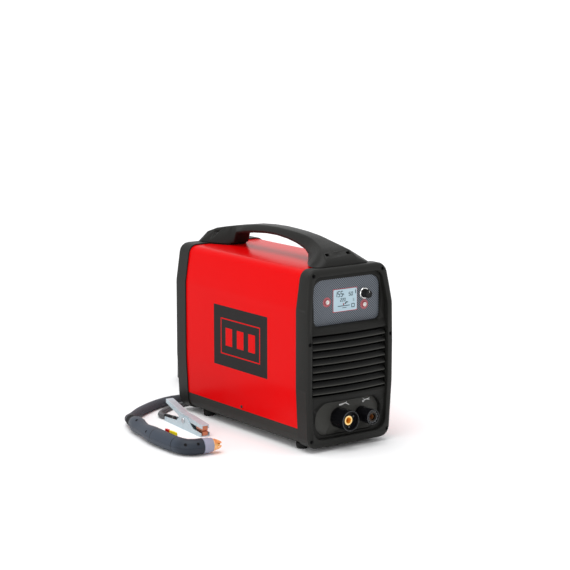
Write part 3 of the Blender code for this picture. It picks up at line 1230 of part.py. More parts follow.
def coil(name, plan, diameter, start_angle, plug_radius, material, body):
    """The wound part of a lead as one ring, with its last arc on top."""
    radius, centre = plan
    band = COIL_TURNS * diameter
    edge = diameter * 0.42
    low, high = radius - band / 2, radius + band / 2
    outline = [(low + edge, 0), (high - edge, 0), (high, edge), (high, band - edge),
               (high - edge, band), (low + edge, band), (low, band - edge), (low, edge)]
    made = place(turned(outline, centre, (0, 0, 1), COIL_STEPS), name, material, body)
    steps = 9
    loops = []
    for step in range(steps + 1):
        share = step / steps
        angle = start_angle + math.radians(TAIL_ANGLE) * share
        lift = band + diameter * (-0.62 + 1.12 * min(1.0, share * 2.5))
        lift += (plug_radius - diameter / 2) * max(0.0, share * 2 - 1)
        out = Vector((math.cos(angle), math.sin(angle), 0))
        middle = centre + out * radius + Vector((0, 0, lift))
        loops.append([middle + (out * math.cos(a) + Vector((0, 0, 1)) * math.sin(a)) * diameter / 2
                      for a in (math.tau * (side + 0.5) / 8 for side in range(8))])
    return combine(made, place(lofted(loops), f"add_{name}_tail", None), "UNION")


def plug_frame(plan, diameter, start_angle, plug_radius):
    """Start and direction of the plug at the end of a lead's last arc."""
    radius, centre = plan
    angle = start_angle + math.radians(TAIL_ANGLE)
    out = Vector((math.cos(angle), math.sin(angle), 0))
    height = COIL_TURNS * diameter + plug_radius
    return centre + out * radius + Vector((0, 0, height)), Vector((-out.y, out.x, 0))


def torch_plug(plan, material, body):
    """The torch's connector: a fluted nut on a sleeve with a contact in front."""
    radius = HOSE_PLUG_DIAMETER / 2
    start, ahead = plug_frame(plan, HOSE_DIAMETER, -math.pi / 2, radius)
    start += ahead * CLEARANCE
    outline = [(0, 0), (0.0100, 0), (0.0115, 0.0020), (0.0125, 0.0200), (0.0150, 0.0220),
               (0.0150, 0.0300), (radius, 0.0320), (radius, 0.0550), (0.0148, 0.0560),
               (0.0148, 0.0610), (0.0048, 0.0610), (0.0048, HOSE_PLUG_LENGTH), (0, HOSE_PLUG_LENGTH)]
    return place(turned(outline, start, ahead, 16), "torch_plug", material, body)


def clamp_plug(plan, material, body):
    """The clamp's bayonet plug: a rubber sleeve and a brass pin."""
    radius = CABLE_PLUG_DIAMETER / 2
    start, ahead = plug_frame(plan, CABLE_DIAMETER, math.pi, radius)
    start += ahead * CLEARANCE
    outline = [(0, 0), (0.0065, 0), (0.0080, 0.0020), (0.0095, 0.0180), (radius, 0.0220),
               (radius, 0.0440), (radius - 0.0015, 0.0460), (0.0062, 0.0460),
               (0.0062, CABLE_PLUG_LENGTH - 0.0015), (0.0047, CABLE_PLUG_LENGTH),
               (0, CABLE_PLUG_LENGTH)]
    return place(turned(outline, start, ahead, 14), "clamp_plug", material, body)


# ---------------------------------------------------------------- work clamp
def clamp_axes():
    rear, tip = Vector((*CLAMP_REAR, FLOOR)), Vector((*CLAMP_TIP, FLOOR))
    ahead = (tip - rear).normalized()
    return rear, ahead, Vector((-ahead.y, ahead.x, 0))


def on_clamp(along, height, aside=0.0):
    """A point given by its distance from the clamp's rear end, its height and its side."""
    rear, ahead, side = clamp_axes()
    return rear + ahead * along + side * aside + Vector((0, 0, height))


def side_plate(outline, half):
    """A side view of (along, height) points with a width across the clamp."""
    return prism([on_clamp(along, height, -half) for along, height in outline],
                 clamp_axes()[2] * 2 * half)


def cut_pivot(target, name):
    bore = rod(PIVOT_PIN + CLEARANCE, on_clamp(PIVOT_ALONG, PIVOT_HEIGHT, -0.02),
               on_clamp(PIVOT_ALONG, PIVOT_HEIGHT, 0.02), 16)
    return combine(target, place(bore, name, None))


def clamp_lower_arm(material, body):
    made = place(side_plate(LOWER_PROFILE, LOWER_HALF), "clamp_lower_arm", material, body)
    hollow = side_plate([(-0.01, ARM_SHEET), (0.16, ARM_SHEET), (0.16, 0.05), (-0.01, 0.05)],
                        LOWER_HALF - ARM_SHEET)
    combine(made, place(hollow, "cut_lower_channel", None))
    return cut_pivot(made, "cut_lower_pivot")


def clamp_upper_arm(material, joint):
    outline = list(UPPER_TOP) + list(UPPER_BOTTOM)
    made = place(side_plate(outline, UPPER_HALF), "clamp_upper_arm", material, joint)
    under = [(along, height - ARM_SHEET) for along, height in UPPER_TOP]
    under = [(-0.01, under[0][1] + 0.0025)] + under[1:-1] + [(0.16, under[-1][1] - 0.0015)]
    hollow = side_plate(under + [(0.16, -0.01), (-0.01, -0.01)], UPPER_HALF - ARM_SHEET)
    combine(made, place(hollow, "cut_upper_channel", None))
    return cut_pivot(made, "cut_upper_pivot")


def clamp_pivot(material, body):
    head, reach = PIVOT_PIN + 0.0020, LOWER_HALF + CLEARANCE
    outline = [(0, -reach - 0.0014), (head - 0.0006, -reach - 0.0014), (head, -reach),
               (PIVOT_PIN, -reach), (PIVOT_PIN, reach), (head, reach),
               (head - 0.0006, reach + 0.0014), (0, reach + 0.0014)]
    side = clamp_axes()[2]
    return place(turned(outline, on_clamp(PIVOT_ALONG, PIVOT_HEIGHT), side, 16), "clamp_pivot",
                 material, body)


def clamp_spring(material, body):
    """The closed turns of the torsion spring and its lower leg."""
    half = 0.0046
    side = clamp_axes()[2]
    ring = turned([(SPRING_INNER, -half), (SPRING_OUTER, -half), (SPRING_OUTER, half),
                   (SPRING_INNER, half)], on_clamp(PIVOT_ALONG, PIVOT_HEIGHT), side, 20)
    made = place(ring, "clamp_spring", material, body)
    leg = rod(0.0009, on_clamp(PIVOT_ALONG, PIVOT_HEIGHT - SPRING_OUTER + 0.0012, 0.0030),
              on_clamp(PIVOT_ALONG - 0.034, ARM_SHEET + 0.0014, 0.0030), 10)
    return combine(made, place(leg, "add_spring_leg", None), "UNION")


def jaw(name, low, high, material, body):
    """A copper jaw with rounded ends, from one height to another."""
    tip = 0.1425
    outline = [(tip - JAW_LENGTH, low), (tip, low), (tip, high - 0.0008), (tip - 0.0008, high),
               (tip - JAW_LENGTH, high)] if name.endswith("lower") else [
        (tip - JAW_LENGTH, low), (tip - 0.0008, low), (tip, low + 0.0008), (tip, high),
        (tip - JAW_LENGTH, high + 0.0018)]
    return place(side_plate(outline, JAW_HALF), name, material, body)


# ---------------------------------------------------------------- assembly
def main():
    clear_scene()
    anthracite = finish("anthracite plastic", (0.038, 0.038, 0.034), 0.45)
    red = finish("red paint", (0.76, 0.003, 0.005), 0.25)
    grey = finish("grey paint", (0.045, 0.045, 0.040), 0.45)
    slate = finish("label film", (0.115, 0.127, 0.155), 0.35)
    lens = finish("display lens", (0.51, 0.68, 0.74), 0.12)
    light_grey = finish("light grey plastic", (0.42, 0.42, 0.43), 0.35)
    button_white = finish("button plastic", (0.75, 0.75, 0.71), 0.40)
    green_board = finish("circuit board", (0.02, 0.16, 0.05), 0.50)
    black = finish("black plastic", (0.012, 0.012, 0.013), 0.40)
    brass = finish("brass", (0.72, 0.50, 0.20), 0.30, 1.0)
    steel = finish("screw steel", (0.45, 0.45, 0.46), 0.30, 1.0)
    rubber = finish("black rubber", (0.014, 0.014, 0.014), 0.80)
    aluminium = finish("aluminium", (0.60, 0.61, 0.62), 0.40, 1.0)
    ferrite = finish("ferrite", (0.05, 0.05, 0.052), 0.70)
    copper = finish("copper", (0.75, 0.36, 0.22), 0.30, 1.0)
    torch_blue = finish("torch plastic", (0.062, 0.078, 0.107), 0.45)
    head_grey = finish("torch head plastic", (0.30, 0.30, 0.38), 0.45)
    trigger_red = finish("trigger red", (0.60, 0.010, 0.012), 0.35)
    safety_yellow = finish("safety yellow", (0.85, 0.55, 0.03), 0.40)
    sleeve = finish("hose sleeve", (0.062, 0.062, 0.075), 0.75)
    cable_grey = finish("cable rubber", (0.10, 0.10, 0.105), 0.70)
    zinc = finish("zinc plate", (0.55, 0.55, 0.56), 0.35, 1.0)

    root = pivot("machine", (0, 0, 0))
    front = bezel("front_bezel", -1, anthracite, root)
    screw_places = [(side * x, z) for x, z in FRONT_SCREWS for side in (-1, 1)]
    cut_screw_wells(front, screw_places, "cut_bezel")
    bezel("rear_bezel", 1, anthracite, root)
    top_cover(red, root)
    base_tray(grey, root)
    for index, (x, z) in enumerate(screw_places, 1):
        front_screw(f"front_screw_{index}", x, z, steel, root)
    for index, (x, y) in enumerate(foot_places(), 1):
        foot(f"foot_{index}", x, y, rubber, root)

    front_panel(anthracite, root)
    control_label(slate, root)
    display(lens, root)
    knob_collar(light_grey, root)
    control_board(green_board, root)
    encoder_knob(black, pivot("knob_axis", (KNOB_X, LABEL_FACE, KNOB_Z), root))
    for name, x, z in (("button_left", -BUTTON_X, BUTTON_LEFT_Z),
                       ("button_right", BUTTON_X, BUTTON_RIGHT_Z)):
        button(name, x, z, button_white, pivot(name + "_axis", (x, LABEL_FACE, z), root))
    socket("torch_socket", TORCH_SOCKET_X, TORCH_SOCKET_DIAMETER, TORCH_CUP_WALL, TORCH_CUP_DEPTH,
           TORCH_CONTACT, black, root)
    contact("torch_contact", TORCH_SOCKET_X, TORCH_CUP_DEPTH, TORCH_CONTACT, TORCH_CONTACT_BORE,
            brass, root)
    socket("clamp_socket", CLAMP_SOCKET_X, CLAMP_SOCKET_DIAMETER, CLAMP_CUP_WALL, CLAMP_CUP_DEPTH,
           CLAMP_CONTACT, black, root)
    contact("clamp_contact", CLAMP_SOCKET_X, CLAMP_CUP_DEPTH, CLAMP_CONTACT, CLAMP_CONTACT_BORE,
            brass, root)

    rear_panel(grey, root)
    fan_frame(black, root)
    fan_rotor(black, pivot("fan_axis", (0, REAR - 0.030, FAN_Z), root))
    mains_switch(black, root)
    mains_switch_knob(trigger_red, pivot("switch_axis", (SWITCH_X, REAR, SWITCH_Z), root))
    cable_gland(black, root)
    air_inlet(brass, root)
    handle(anthracite, root)

    heatsink(aluminium, root)
    power_board(green_board, root)
    capacitor("capacitor_1", -0.060, black, root)
    capacitor("capacitor_2", -0.020, black, root)
    transformer_core(ferrite, root)
    transformer_winding(copper, root)
    air_valve(aluminium, root)

    torch = pivot("torch", (TORCH_STATIONS[0][0], TORCH_STATIONS[0][1], TORCH_HEIGHT))
    torch_shell("torch_shell_upper", 1, torch_blue, torch)
    torch_shell("torch_shell_lower", -1, torch_blue, torch)
    torch_head(head_grey, torch)
    torch_nozzle(copper, torch)
    hose_boot(rubber, torch)
    lever("torch_trigger", TRIGGER_OUTLINE, TRIGGER_PAD, TRIGGER_PIVOT, trigger_red,
          pivot("trigger_axis", (*TRIGGER_PIVOT, TORCH_HEIGHT), torch))
    lever("trigger_safety", SAFETY_OUTLINE, SAFETY_PAD, SAFETY_PIVOT, safety_yellow,
          pivot("safety_axis", (*SAFETY_PIVOT, TORCH_HEIGHT), torch))
    hose_plan = coil_plan(HOSE_ROUTE, HOSE_DIAMETER, HOSE_LENGTH, -math.pi / 2)
    lead("hose_lead", HOSE_ROUTE, HOSE_DIAMETER, hose_plan, sleeve, torch)
    coil("hose_coil", hose_plan, HOSE_DIAMETER, -math.pi / 2, HOSE_PLUG_DIAMETER / 2, sleeve, torch)
    torch_plug(hose_plan, black, torch)

    clamp = pivot("clamp", on_clamp(PIVOT_ALONG, 0.0))
    clamp_lower_arm(zinc, clamp)
    clamp_pivot(steel, clamp)
    clamp_spring(steel, clamp)
    jaw("jaw_lower", ARM_SHEET + CLEARANCE, JAW_MEET - CLEARANCE / 2, copper, clamp)
    clamp_joint = pivot("clamp_axis", on_clamp(PIVOT_ALONG, PIVOT_HEIGHT), clamp)
    clamp_upper_arm(zinc, clamp_joint)
    jaw("jaw_upper", JAW_MEET + CLEARANCE / 2, 0.0196, copper, clamp_joint)
    cable_plan = coil_plan(CABLE_ROUTE, CABLE_DIAMETER, CABLE_LENGTH, math.pi)
    lead("clamp_cable", CABLE_ROUTE, CABLE_DIAMETER, cable_plan, cable_grey, clamp)
    coil("cable_coil", cable_plan, CABLE_DIAMETER, math.pi, CABLE_PLUG_DIAMETER / 2, cable_grey, clamp)
    clamp_plug(cable_plan, rubber, clamp)


main()
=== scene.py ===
"""Looks of the plasma cutting machine, of its hand torch and of its work clamp.

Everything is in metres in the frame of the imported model: +Z up, the operator's side towards -Y.
"""
import json
import math

import bmesh
import bpy
from bpy.props import FloatProperty, FloatVectorProperty, PointerProperty
from mathutils import Matrix, Vector


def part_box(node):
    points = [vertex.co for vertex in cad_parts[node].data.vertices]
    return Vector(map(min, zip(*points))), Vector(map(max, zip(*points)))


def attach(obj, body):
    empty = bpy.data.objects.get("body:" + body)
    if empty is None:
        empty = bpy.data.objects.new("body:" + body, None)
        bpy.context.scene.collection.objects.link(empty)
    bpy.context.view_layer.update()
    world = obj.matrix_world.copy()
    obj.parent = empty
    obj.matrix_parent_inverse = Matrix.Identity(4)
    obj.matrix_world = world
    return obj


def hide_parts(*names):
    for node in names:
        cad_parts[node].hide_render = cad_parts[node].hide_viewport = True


bl_info = {
    "name": "Plasma cutter looks",
    "version": (1, 0, 0),
    "blender": (4, 5, 0),
    "location": "View3D > Sidebar > Cutter",
    "description": "Builds the finishes and fine parts of a portable plasma cutter",
    "category": "Object",
}

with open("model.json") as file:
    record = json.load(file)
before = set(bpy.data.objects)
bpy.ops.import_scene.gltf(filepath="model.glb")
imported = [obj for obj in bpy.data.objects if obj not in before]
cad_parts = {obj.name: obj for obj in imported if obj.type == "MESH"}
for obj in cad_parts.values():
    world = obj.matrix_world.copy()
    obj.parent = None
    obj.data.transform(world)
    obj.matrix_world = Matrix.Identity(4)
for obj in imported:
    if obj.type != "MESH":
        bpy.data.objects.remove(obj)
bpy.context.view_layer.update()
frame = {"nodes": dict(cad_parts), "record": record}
BODY_OF = {node: body for body, nodes in frame["record"]["behaviour"]["bodies"].items()
           for node in nodes}

MM = 0.001
RIGHT, REARWARD, UP = Vector((1, 0, 0)), Vector((0, 1, 0)), Vector((0, 0, 1))
FLOOR = -0.010
FRONT, REAR = -0.2085, 0.2085
LABEL_FACE = FRONT + 0.0165
RECESS_FLOOR = FRONT + 0.016
REAR_FACE = REAR - 0.012
PANEL_HALF, PANEL_BOW = 0.0838, 0.0070              # the front panel's half width and its bulge
DISPLAY = (-0.0015, 0.2525, 0.051, 0.0385)          # x, z, width, height
BUTTONS = ((-0.0412, 0.2520), (0.0412, 0.2400))
BUTTON_FACE = -0.1942
SCREWS = ((0.0757, 0.3015), (0.0886, 0.1846), (0.0838, 0.0122))     # |x| and z
SLATS = (0.185, 0.0131, 0.0042, 8)                  # first lower edge, pitch, gap and count
TORCH_SOCKET, CLAMP_SOCKET = -0.015, 0.035          # x of each socket's axis
SOCKET_LIP, SOCKET_HEIGHT = FRONT - 0.020, 0.044
FAN_HEIGHT = 0.205
TORCH_HEIGHT = 0.005
PRINT = 0.00012                                     # thickness of a printed line

TOP, MIDDLE, LOW = (0, 1, 1, 1), (0, 0.5, 1, 0.5), (0, 0, 1, 0)     # strokes of a figure
UPPER_LEFT, UPPER_RIGHT = (0, 0.5, 0, 1), (1, 0.5, 1, 1)
LOWER_LEFT, LOWER_RIGHT = (0, 0, 0, 0.5), (1, 0, 1, 0.5)
FIGURES = {"0": (TOP, LOW, UPPER_LEFT, UPPER_RIGHT, LOWER_LEFT, LOWER_RIGHT),
           "1": (UPPER_RIGHT, LOWER_RIGHT), "2": (TOP, UPPER_RIGHT, MIDDLE, LOWER_LEFT, LOW),
           "5": (TOP, UPPER_LEFT, MIDDLE, LOWER_RIGHT, LOW)}

HOSE_ROUTE = (                                      # x, y and lift off the floor, in mm
    (-239.2, 138.6, 6.25), (-237.8, 144.5, 6.1), (-233.2, 154.5, 4.7), (-225, 164.5, 2.2),
    (-212.3, 177, 0.3), (-186.8, 199.5, 0), (-162, 216, 0), (-130.9, 233, 0), (-98.4, 245, 0),
    (-74, 247, 0), (-45, 242.5, 0), (-5, 239, 0), (50, 238.5, 0), (105, 239, 0), (153, 239.5, 0))
CABLE_ROUTE = (
    (-152.9, 125.6, 2.3), (-152.4, 140, 2.3), (-153.5, 153, 1.6), (-155, 166, 0.4),
    (-150.5, 179, 0), (-140.5, 190, 0), (-124.5, 201.5, 0), (-104.5, 213, 0), (-78, 221, 0),
    (-45, 223.4, 0), (0, 223.6, 0), (50, 223.4, 0), (82, 221, 0), (106, 210, 0),
    (120.5, 188.5, 0), (124.5, 158, 0), (122.8, 120, 0), (121.6, 80, 0))
COIL_STEPS = (  # angle reached, then how far out and up the cord is there, in diameters
    (0, 1, 0), (280, 1, 0), (360, 0, 0), (640, 0, 0), (720, -1, 0), (950, -1, 0), (1000, -1, 1),
    (1230, -1, 1), (1310, 0, 1), (1590, 0, 1), (1670, 1, 1), (1900, 1, 1), (1950, 1, 2),
    (2180, 1, 2), (2260, 0, 2), (2540, 0, 2), (2620, -1, 2), (2840, -1, 2), (2900, -1, 3),
    (2980, 0, 3))
PLUG_ARC = 2900                                     # angle past which the cord rises to its plug
CLAMP_REAR, CLAMP_TIP = Vector((-0.1506, 0.1475, FLOOR)), Vector((-0.1647, 0.0045, FLOOR))
CLAMP_AHEAD = (CLAMP_TIP - CLAMP_REAR).normalized()


class CutterLooks(bpy.types.PropertyGroup):
    """Colours and sizes that a user may change before the pieces are made."""
    cover: FloatVectorProperty(name="Cover", description="Colour of the sheet cover",
                               subtype="COLOR", size=3, min=0, max=1, default=(0.68, 0.0016, 0.0025))
    moulding: FloatVectorProperty(name="Mouldings", description="Colour of the end frames and handle",
                                  subtype="COLOR", size=3, min=0, max=1,
                                  default=(0.0145, 0.0145, 0.0132))
    tray: FloatVectorProperty(name="Tray", description="Colour of the lower tray", subtype="COLOR",
                              size=3, min=0, max=1, default=(0.025, 0.0246, 0.0222))
    label: FloatVectorProperty(name="Label", description="Ground colour of the control label",
                               subtype="COLOR", size=3, min=0, max=1, default=(0.100, 0.113, 0.132))
    torch: FloatVectorProperty(name="Torch", description="Colour of the torch handle",
                               subtype="COLOR", size=3, min=0, max=1, default=(0.032, 0.042, 0.060))
    hose_length: FloatProperty(name="Hose length", description="Length of the torch's hose",
                               subtype="DISTANCE", unit="LENGTH", default=5.6)
    hose_diameter: FloatProperty(name="Hose diameter", description="Diameter of the torch's hose",
                                 subtype="DISTANCE", unit="LENGTH", default=0.0175)
    cable_length: FloatProperty(name="Cable length", description="Length of the clamp's cable",
                                subtype="DISTANCE", unit="LENGTH", default=3.6)
    cable_diameter: FloatProperty(name="Cable diameter", description="Diameter of the clamp's cable",
                                  subtype="DISTANCE", unit="LENGTH", default=0.0095)
    square_low: FloatVectorProperty(name="Square from", subtype="XYZ_LENGTH", size=2, unit="LENGTH",
                                    description="Rear lower corner of the dark square on each side",
                                    default=(-0.0865, 0.103))
    square_high: FloatVectorProperty(name="Square to", subtype="XYZ_LENGTH", size=2, unit="LENGTH",
                                     description="Front upper corner of the dark square",
                                     default=(0.0825, 0.215))


# ---------------------------------------------------------------- finishes
def maths_node(operation):
    """A method that puts a Math node between a shader value and another value."""
    return lambda self, other: self.maths(operation, other)


class Signal:
    """A shader value; each operator on it adds its Math node."""

    def __init__(self, finish, socket):
        self.finish, self.socket = finish, socket

    def maths(self, operation, *values):
        return self.finish.node("ShaderNodeMath", {"operation": operation},
                                dict(enumerate((self,) + values)))

    __add__ = __radd__ = maths_node("ADD")
    __mul__ = __rmul__ = maths_node("MULTIPLY")
    __sub__, __truediv__ = maths_node("SUBTRACT"), maths_node("DIVIDE")
    __lt__, __gt__ = maths_node("LESS_THAN"), maths_node("GREATER_THAN")

    def __rsub__(self, other):
        return self.finish.node("ShaderNodeMath", {"operation": "SUBTRACT"}, {0: other, 1: self})

    def __abs__(self):
        return self.maths("ABSOLUTE")

    def sine(self):
        return self.maths("SINE")

    def clamped(self):
        """The value, kept between 0 and 1."""
        return self.maths("MAXIMUM", 0.0).maths("MINIMUM", 1.0)


class Finish:
    """One procedural material on a Principled shader."""

    def __init__(self, name, roughness=0.4, metallic=0.0, shine=0.5):
        self.material = bpy.data.materials.new(name)
        self.material.use_nodes = True
        self.tree = self.material.node_tree
        self.shader = self.tree.nodes["Principled BSDF"]
        self.put("Roughness", roughness)
        self.put("Metallic", metallic)
        self.shader.inputs["Specular IOR Level"].default_value = shine

    def feed(self, socket, value):
        if isinstance(value, Signal):
            self.tree.links.new(value.socket, socket)
        elif socket.type == "RGBA" and len(value) == 3:
            socket.default_value = (*value, 1.0)
        else:
            socket.default_value = value

    def put(self, socket, value):
        self.feed(self.shader.inputs[socket], value)
        return self

    def node(self, kind, settings=None, inputs=None, output=0):
        made = self.tree.nodes.new(kind)
        for key, value in (settings or {}).items():
            setattr(made, key, value)
        for key, value in (inputs or {}).items():
            self.feed(made.inputs[key], value)
        return Signal(self, made.outputs[output])

    def place(self, output="Object"):
        return self.node("ShaderNodeTexCoord", output=output)

    def axes(self, output="Object"):
        split = self.tree.nodes.new("ShaderNodeSeparateXYZ")
        self.tree.links.new(self.place(output).socket, split.inputs[0])
        return [Signal(self, socket) for socket in split.outputs]

    def noise(self, scale, detail=2.0, stretch=None):
        place = self.place()
        if stretch:
            place = self.node("ShaderNodeMapping", inputs={"Vector": place, "Scale": stretch})
        return self.node("ShaderNodeTexNoise", inputs={"Vector": place, "Scale": scale,
                                                       "Detail": detail})

    def mix(self, factor, first, second):
        return self.node("ShaderNodeMix", {"data_type": "RGBA"}, {0: factor, 6: first, 7: second}, 2)

    def bump(self, height, strength, distance=0.001):
        self.put("Normal", self.node("ShaderNodeBump", inputs={
            "Height": height, "Strength": strength, "Distance": distance}))
        return self

    def between(self, value, low, high):
        return (value > low) * (value < high)

    def spots(self, first, second, places, radius):
        """1 inside the circles about places in the plane of two axes."""
        whole = first * 0
        for one, two in places:
            across, up = first - one, second - two
            whole = whole + (across * across + up * up < radius * radius)
        return whole.clamped()

    def paint(self, factor, first, second):
        """Feed the base colour with a mix of two."""
        return self.put("Base Color", self.mix(factor, first, second))

    def tone(self):
        """What feeds the base colour so far."""
        return Signal(self, self.shader.inputs["Base Color"].links[0].from_socket)


def tint(colour, factor):
    return tuple(min(1.0, channel * factor) for channel in colour)


def moulded(name, colour, roughness=0.42, grain=2200, depth=0.25, shine=0.14):
    """Spark-textured moulded plastic, a little uneven in tone and gloss."""
    made = Finish(name, roughness, shine=shine)
    cloud, fine = made.noise(9, 3), made.noise(grain, 2)
    made.paint(cloud, tint(colour, 0.86), tint(colour, 1.16))
    made.put("Roughness", cloud * 0.10 + (roughness - 0.05) + fine * 0.06)
    return made.bump(fine, depth, 0.0003)


def metal(name, colour, roughness=0.3, scale=900, stretch=(1, 1, 1), depth=0.12):
    """Bare or plated metal with fine working marks."""
    made = Finish(name, roughness, 1.0)
    marks, cloud = made.noise(scale, 3, stretch), made.noise(60, 3)
    made.paint(cloud, tint(colour, 0.82), tint(colour, 1.12))
    made.put("Roughness", marks * 0.16 + cloud * 0.10 + (roughness - 0.10))
    return made.bump(marks, depth, 0.0002)


def cover_paint(looks):
    """Glossy red paint with a plain dark square on both sides."""
    made = Finish("cover_paint", 0.24, shine=0.045)
    x, y, z = made.axes()
    (y_low, z_low), (y_high, z_high) = looks.square_low, looks.square_high
    square = made.between(y, y_low, y_high) * made.between(z, z_low, z_high) * (abs(x) > 0.07)
    middle_y, middle_z = (y_low + y_high) / 2, (z_low + z_high) / 2
    across, up = abs(y - middle_y), abs(z - middle_z)
    inner = (across < 0.062) * (up < 0.0335) * (1 - (across < 0.060) * (up < 0.0315))
    bars = inner * 0
    for offset in (-0.036, 0.0, 0.036):
        bars = bars + (abs(y - middle_y - offset) < 0.0105) * (up < 0.0165)
    motif = square * (inner + bars)
    cloud, peel = made.noise(6, 2), made.noise(420, 2)
    red = made.mix(cloud, tint(looks.cover, 0.95), tint(looks.cover, 1.04))
    dark = made.mix(motif, (0.020, 0.018, 0.018), tint(looks.cover, 0.95))
    made.paint(square, red, dark)
    made.put("Roughness", 0.22 + cloud * 0.05 + square * (1 - motif) * 0.16)
    return made.bump(peel, 0.06, 0.0004)


def label_film(looks):
    """Printed film: a fine screen of dots, a red outline round the display and button rings."""
    made = Finish("label_film", 0.40, shine=0.25)
    x, _, z = made.axes()
    pitch = math.tau / 0.0042
    dots = (x * pitch).sine() * (z * pitch).sine()
    colour = made.mix(dots > 0.10, looks.label, tint(looks.label, 0.40))
    colour = made.mix(dots < -0.30, colour, tint(looks.label, 1.90))
    display_x, display_z, width, height = DISPLAY
    outline = (abs(x - display_x) < width / 2 + 0.0011) * (abs(z - display_z) < height / 2 + 0.0011)
    colour = made.mix(outline, colour, (0.52, 0.060, 0.085))
    for radius, ring in ((0.0086, (0.36, 0.085, 0.100)), (0.0074, (0.44, 0.125, 0.140))):
        colour = made.mix(made.spots(x, z, BUTTONS, radius), colour, ring)
    made.put("Base Color", colour)
    made.put("Roughness", 0.34 + made.noise(500) * 0.08)
    return made.bump(made.noise(900), 0.05, 0.0002)


def lens_glass():
    """Pale lit display glass, slightly paler towards its edge."""
    made = Finish("lens_glass", 0.22, shine=0.3)
    x, _, z = made.axes()
    display_x, display_z, width, height = DISPLAY
    edge = (abs(x - display_x) > width / 2 - 0.0011) + (abs(z - display_z) > height / 2 - 0.0011)
    cell = math.tau / 0.0006
    grid = ((x * cell).sine() * (z * cell).sine()) > 0.4
    pale = made.mix(made.noise(40), (0.37, 0.49, 0.56), (0.44, 0.57, 0.63))
    pale = made.mix(grid * 0.25, pale, (0.33, 0.44, 0.50))
    made.paint(edge.clamped() * 0.55, pale, (0.52, 0.60, 0.66))
    made.put("Emission Color", made.mix(0.5, pale, (0.4, 0.55, 0.62)))
    made.shader.inputs["Emission Strength"].default_value = 0.10
    return made


def torch_plastic(looks):
    """Slate-blue shell with painted shade towards its nose, and two seams across the grip."""
    made = moulded("torch_plastic", looks.torch, 0.46, 1800, 0.30, 0.25)
    y = made.axes()[1]
    seams = (abs(y - 0.0094) < 0.0009) + (abs(y + 0.0593) < 0.0009)
    # darker nose: painted shade
    shaded_nose = ((y + 0.066) * -70).clamped()
    colour = made.mix(shaded_nose, made.tone(), tint(looks.torch, 0.62))
    made.paint(seams, colour, tint(looks.torch, 0.20))
    return made


def braid(name, colour, turns, rows, roughness=0.8, depth=0.6):
    """Woven sleeve: two sets of yarns that cross along the cord's own map."""
    made = Finish(name, roughness)
    around, along, _ = made.axes("UV")
    first = ((around * turns + along * rows) * math.tau).sine()
    second = ((around * turns - along * rows) * math.tau).sine()
    yarn = first * second
    made.paint(yarn * 0.5 + 0.5, tint(colour, 0.55), tint(colour, 1.35))
    made.put("Roughness", yarn * 0.08 + roughness)
    return made.bump(yarn, depth, 0.0005)


def zinc_plate():
    """Bright zinc-plated sheet with pressed cross ribs on the upper faces."""
    made = Finish("zinc_plate", 0.34, 0.30, shine=0.3)
    x, y, z = made.axes()
    east, north = x - CLAMP_REAR.x, y - CLAMP_REAR.y
    along = east * CLAMP_AHEAD.x + north * CLAMP_AHEAD.y
    across = abs(east * -CLAMP_AHEAD.y + north * CLAMP_AHEAD.x)
    ribs = (along * (math.tau / 0.0046)).sine().maths("MAXIMUM", 0.0)
    ribs = ribs * (z > 0.009) * (across < 0.0052) * made.between(along, 0.010, 0.062)
    cloud, marks = made.noise(130, 4), made.noise(800, 2, (1, 0.15, 1))
    sheet = made.mix(cloud, (0.45, 0.54, 0.59), (0.60, 0.70, 0.74))
    made.paint(ribs * 0.55, sheet, (0.24, 0.28, 0.31))
    made.put("Roughness", 0.30 + cloud * 0.20 + marks * 0.06)
    return made.bump(ribs + marks * 0.10, 0.7, 0.0006)


def contact_brass(name, centre_x, bore, rim, inside):
    """Brass whose bore is warmer and duller than its rim; the torch's bright bore is painted light,
    the clamp's dark rim painted shade.
    """
    made = Finish(name, 0.22)
    x, _, z = made.axes()
    deep = made.spots(x, z, ((centre_x, SOCKET_HEIGHT),), bore)
    marks = made.noise(1400, 2)
    # bright, nearly non-metal bore on the torch socket: painted light; dark rim on the clamp socket:
    # painted shade
    made.paint(deep, rim, inside)
    made.put("Metallic", 1 - deep * 0.85)
    made.put("Roughness", 0.16 + marks * 0.14 + deep * 0.2)
    return made.bump(marks, 0.06, 0.0001)


def board_green(name):
    """Circuit board: solder resist with tracks and pads."""
    made = Finish(name, 0.42)
    x, y, z = made.axes()
    tracks = ((y * 900).sine() * ((x + z) * 700).sine()) > 0.35
    made.paint(tracks, (0.010, 0.105, 0.030), (0.030, 0.200, 0.065))
    made.put("Roughness", 0.36 + made.noise(300) * 0.12)
    return made.bump(tracks * 1.0, 0.2, 0.0001)


def bezel_moulding(looks):
    """The end frames' plastic, with painted shade: black inside the front screw wells."""
    made = moulded("frame_moulding", looks.moulding, 0.40, 1900, 0.35)
    x, y, z = made.axes()
    # black discs over the front screw wells: painted shade in the holes
    shaded_wells = made.spots(abs(x), z, SCREWS, 0.0037) * (y < 0)
    made.paint(shaded_wells, made.tone(), (0.001, 0.001, 0.001))
    return made


def panel_moulding(looks):
    """The front panel's plastic, with painted light on the floor of the socket recess."""
    made = moulded("panel_moulding", tint(looks.moulding, 0.80), 0.44, 1900, 0.35)
    _, y, z = made.axes()
    floor = (y > RECESS_FLOOR - 0.0004) * (z < 0.0775)
    # paler recess floor: painted light falling on it
    made.paint(floor, made.tone(), tint(looks.moulding, 3.9))
    return made


def slat_moulding(looks):
    """The grille's plastic: each slat with a painted highlight along its lower lip and painted shade
    towards its top.
    """
    made = moulded("slat_moulding", looks.moulding, 0.42, 1900, 0.3)
    first, pitch, _, _ = SLATS
    share = ((made.axes()[2] - first) / pitch).maths("FRACT")
    shade = ((share - 0.20) * 3.8).clamped()
    colour = made.mix(shade, made.tone(), (0.0015, 0.0015, 0.0015))
    # pale lower lip: painted highlight
    made.paint(share < 0.15, colour, tint(looks.moulding, 3.0))
    return made


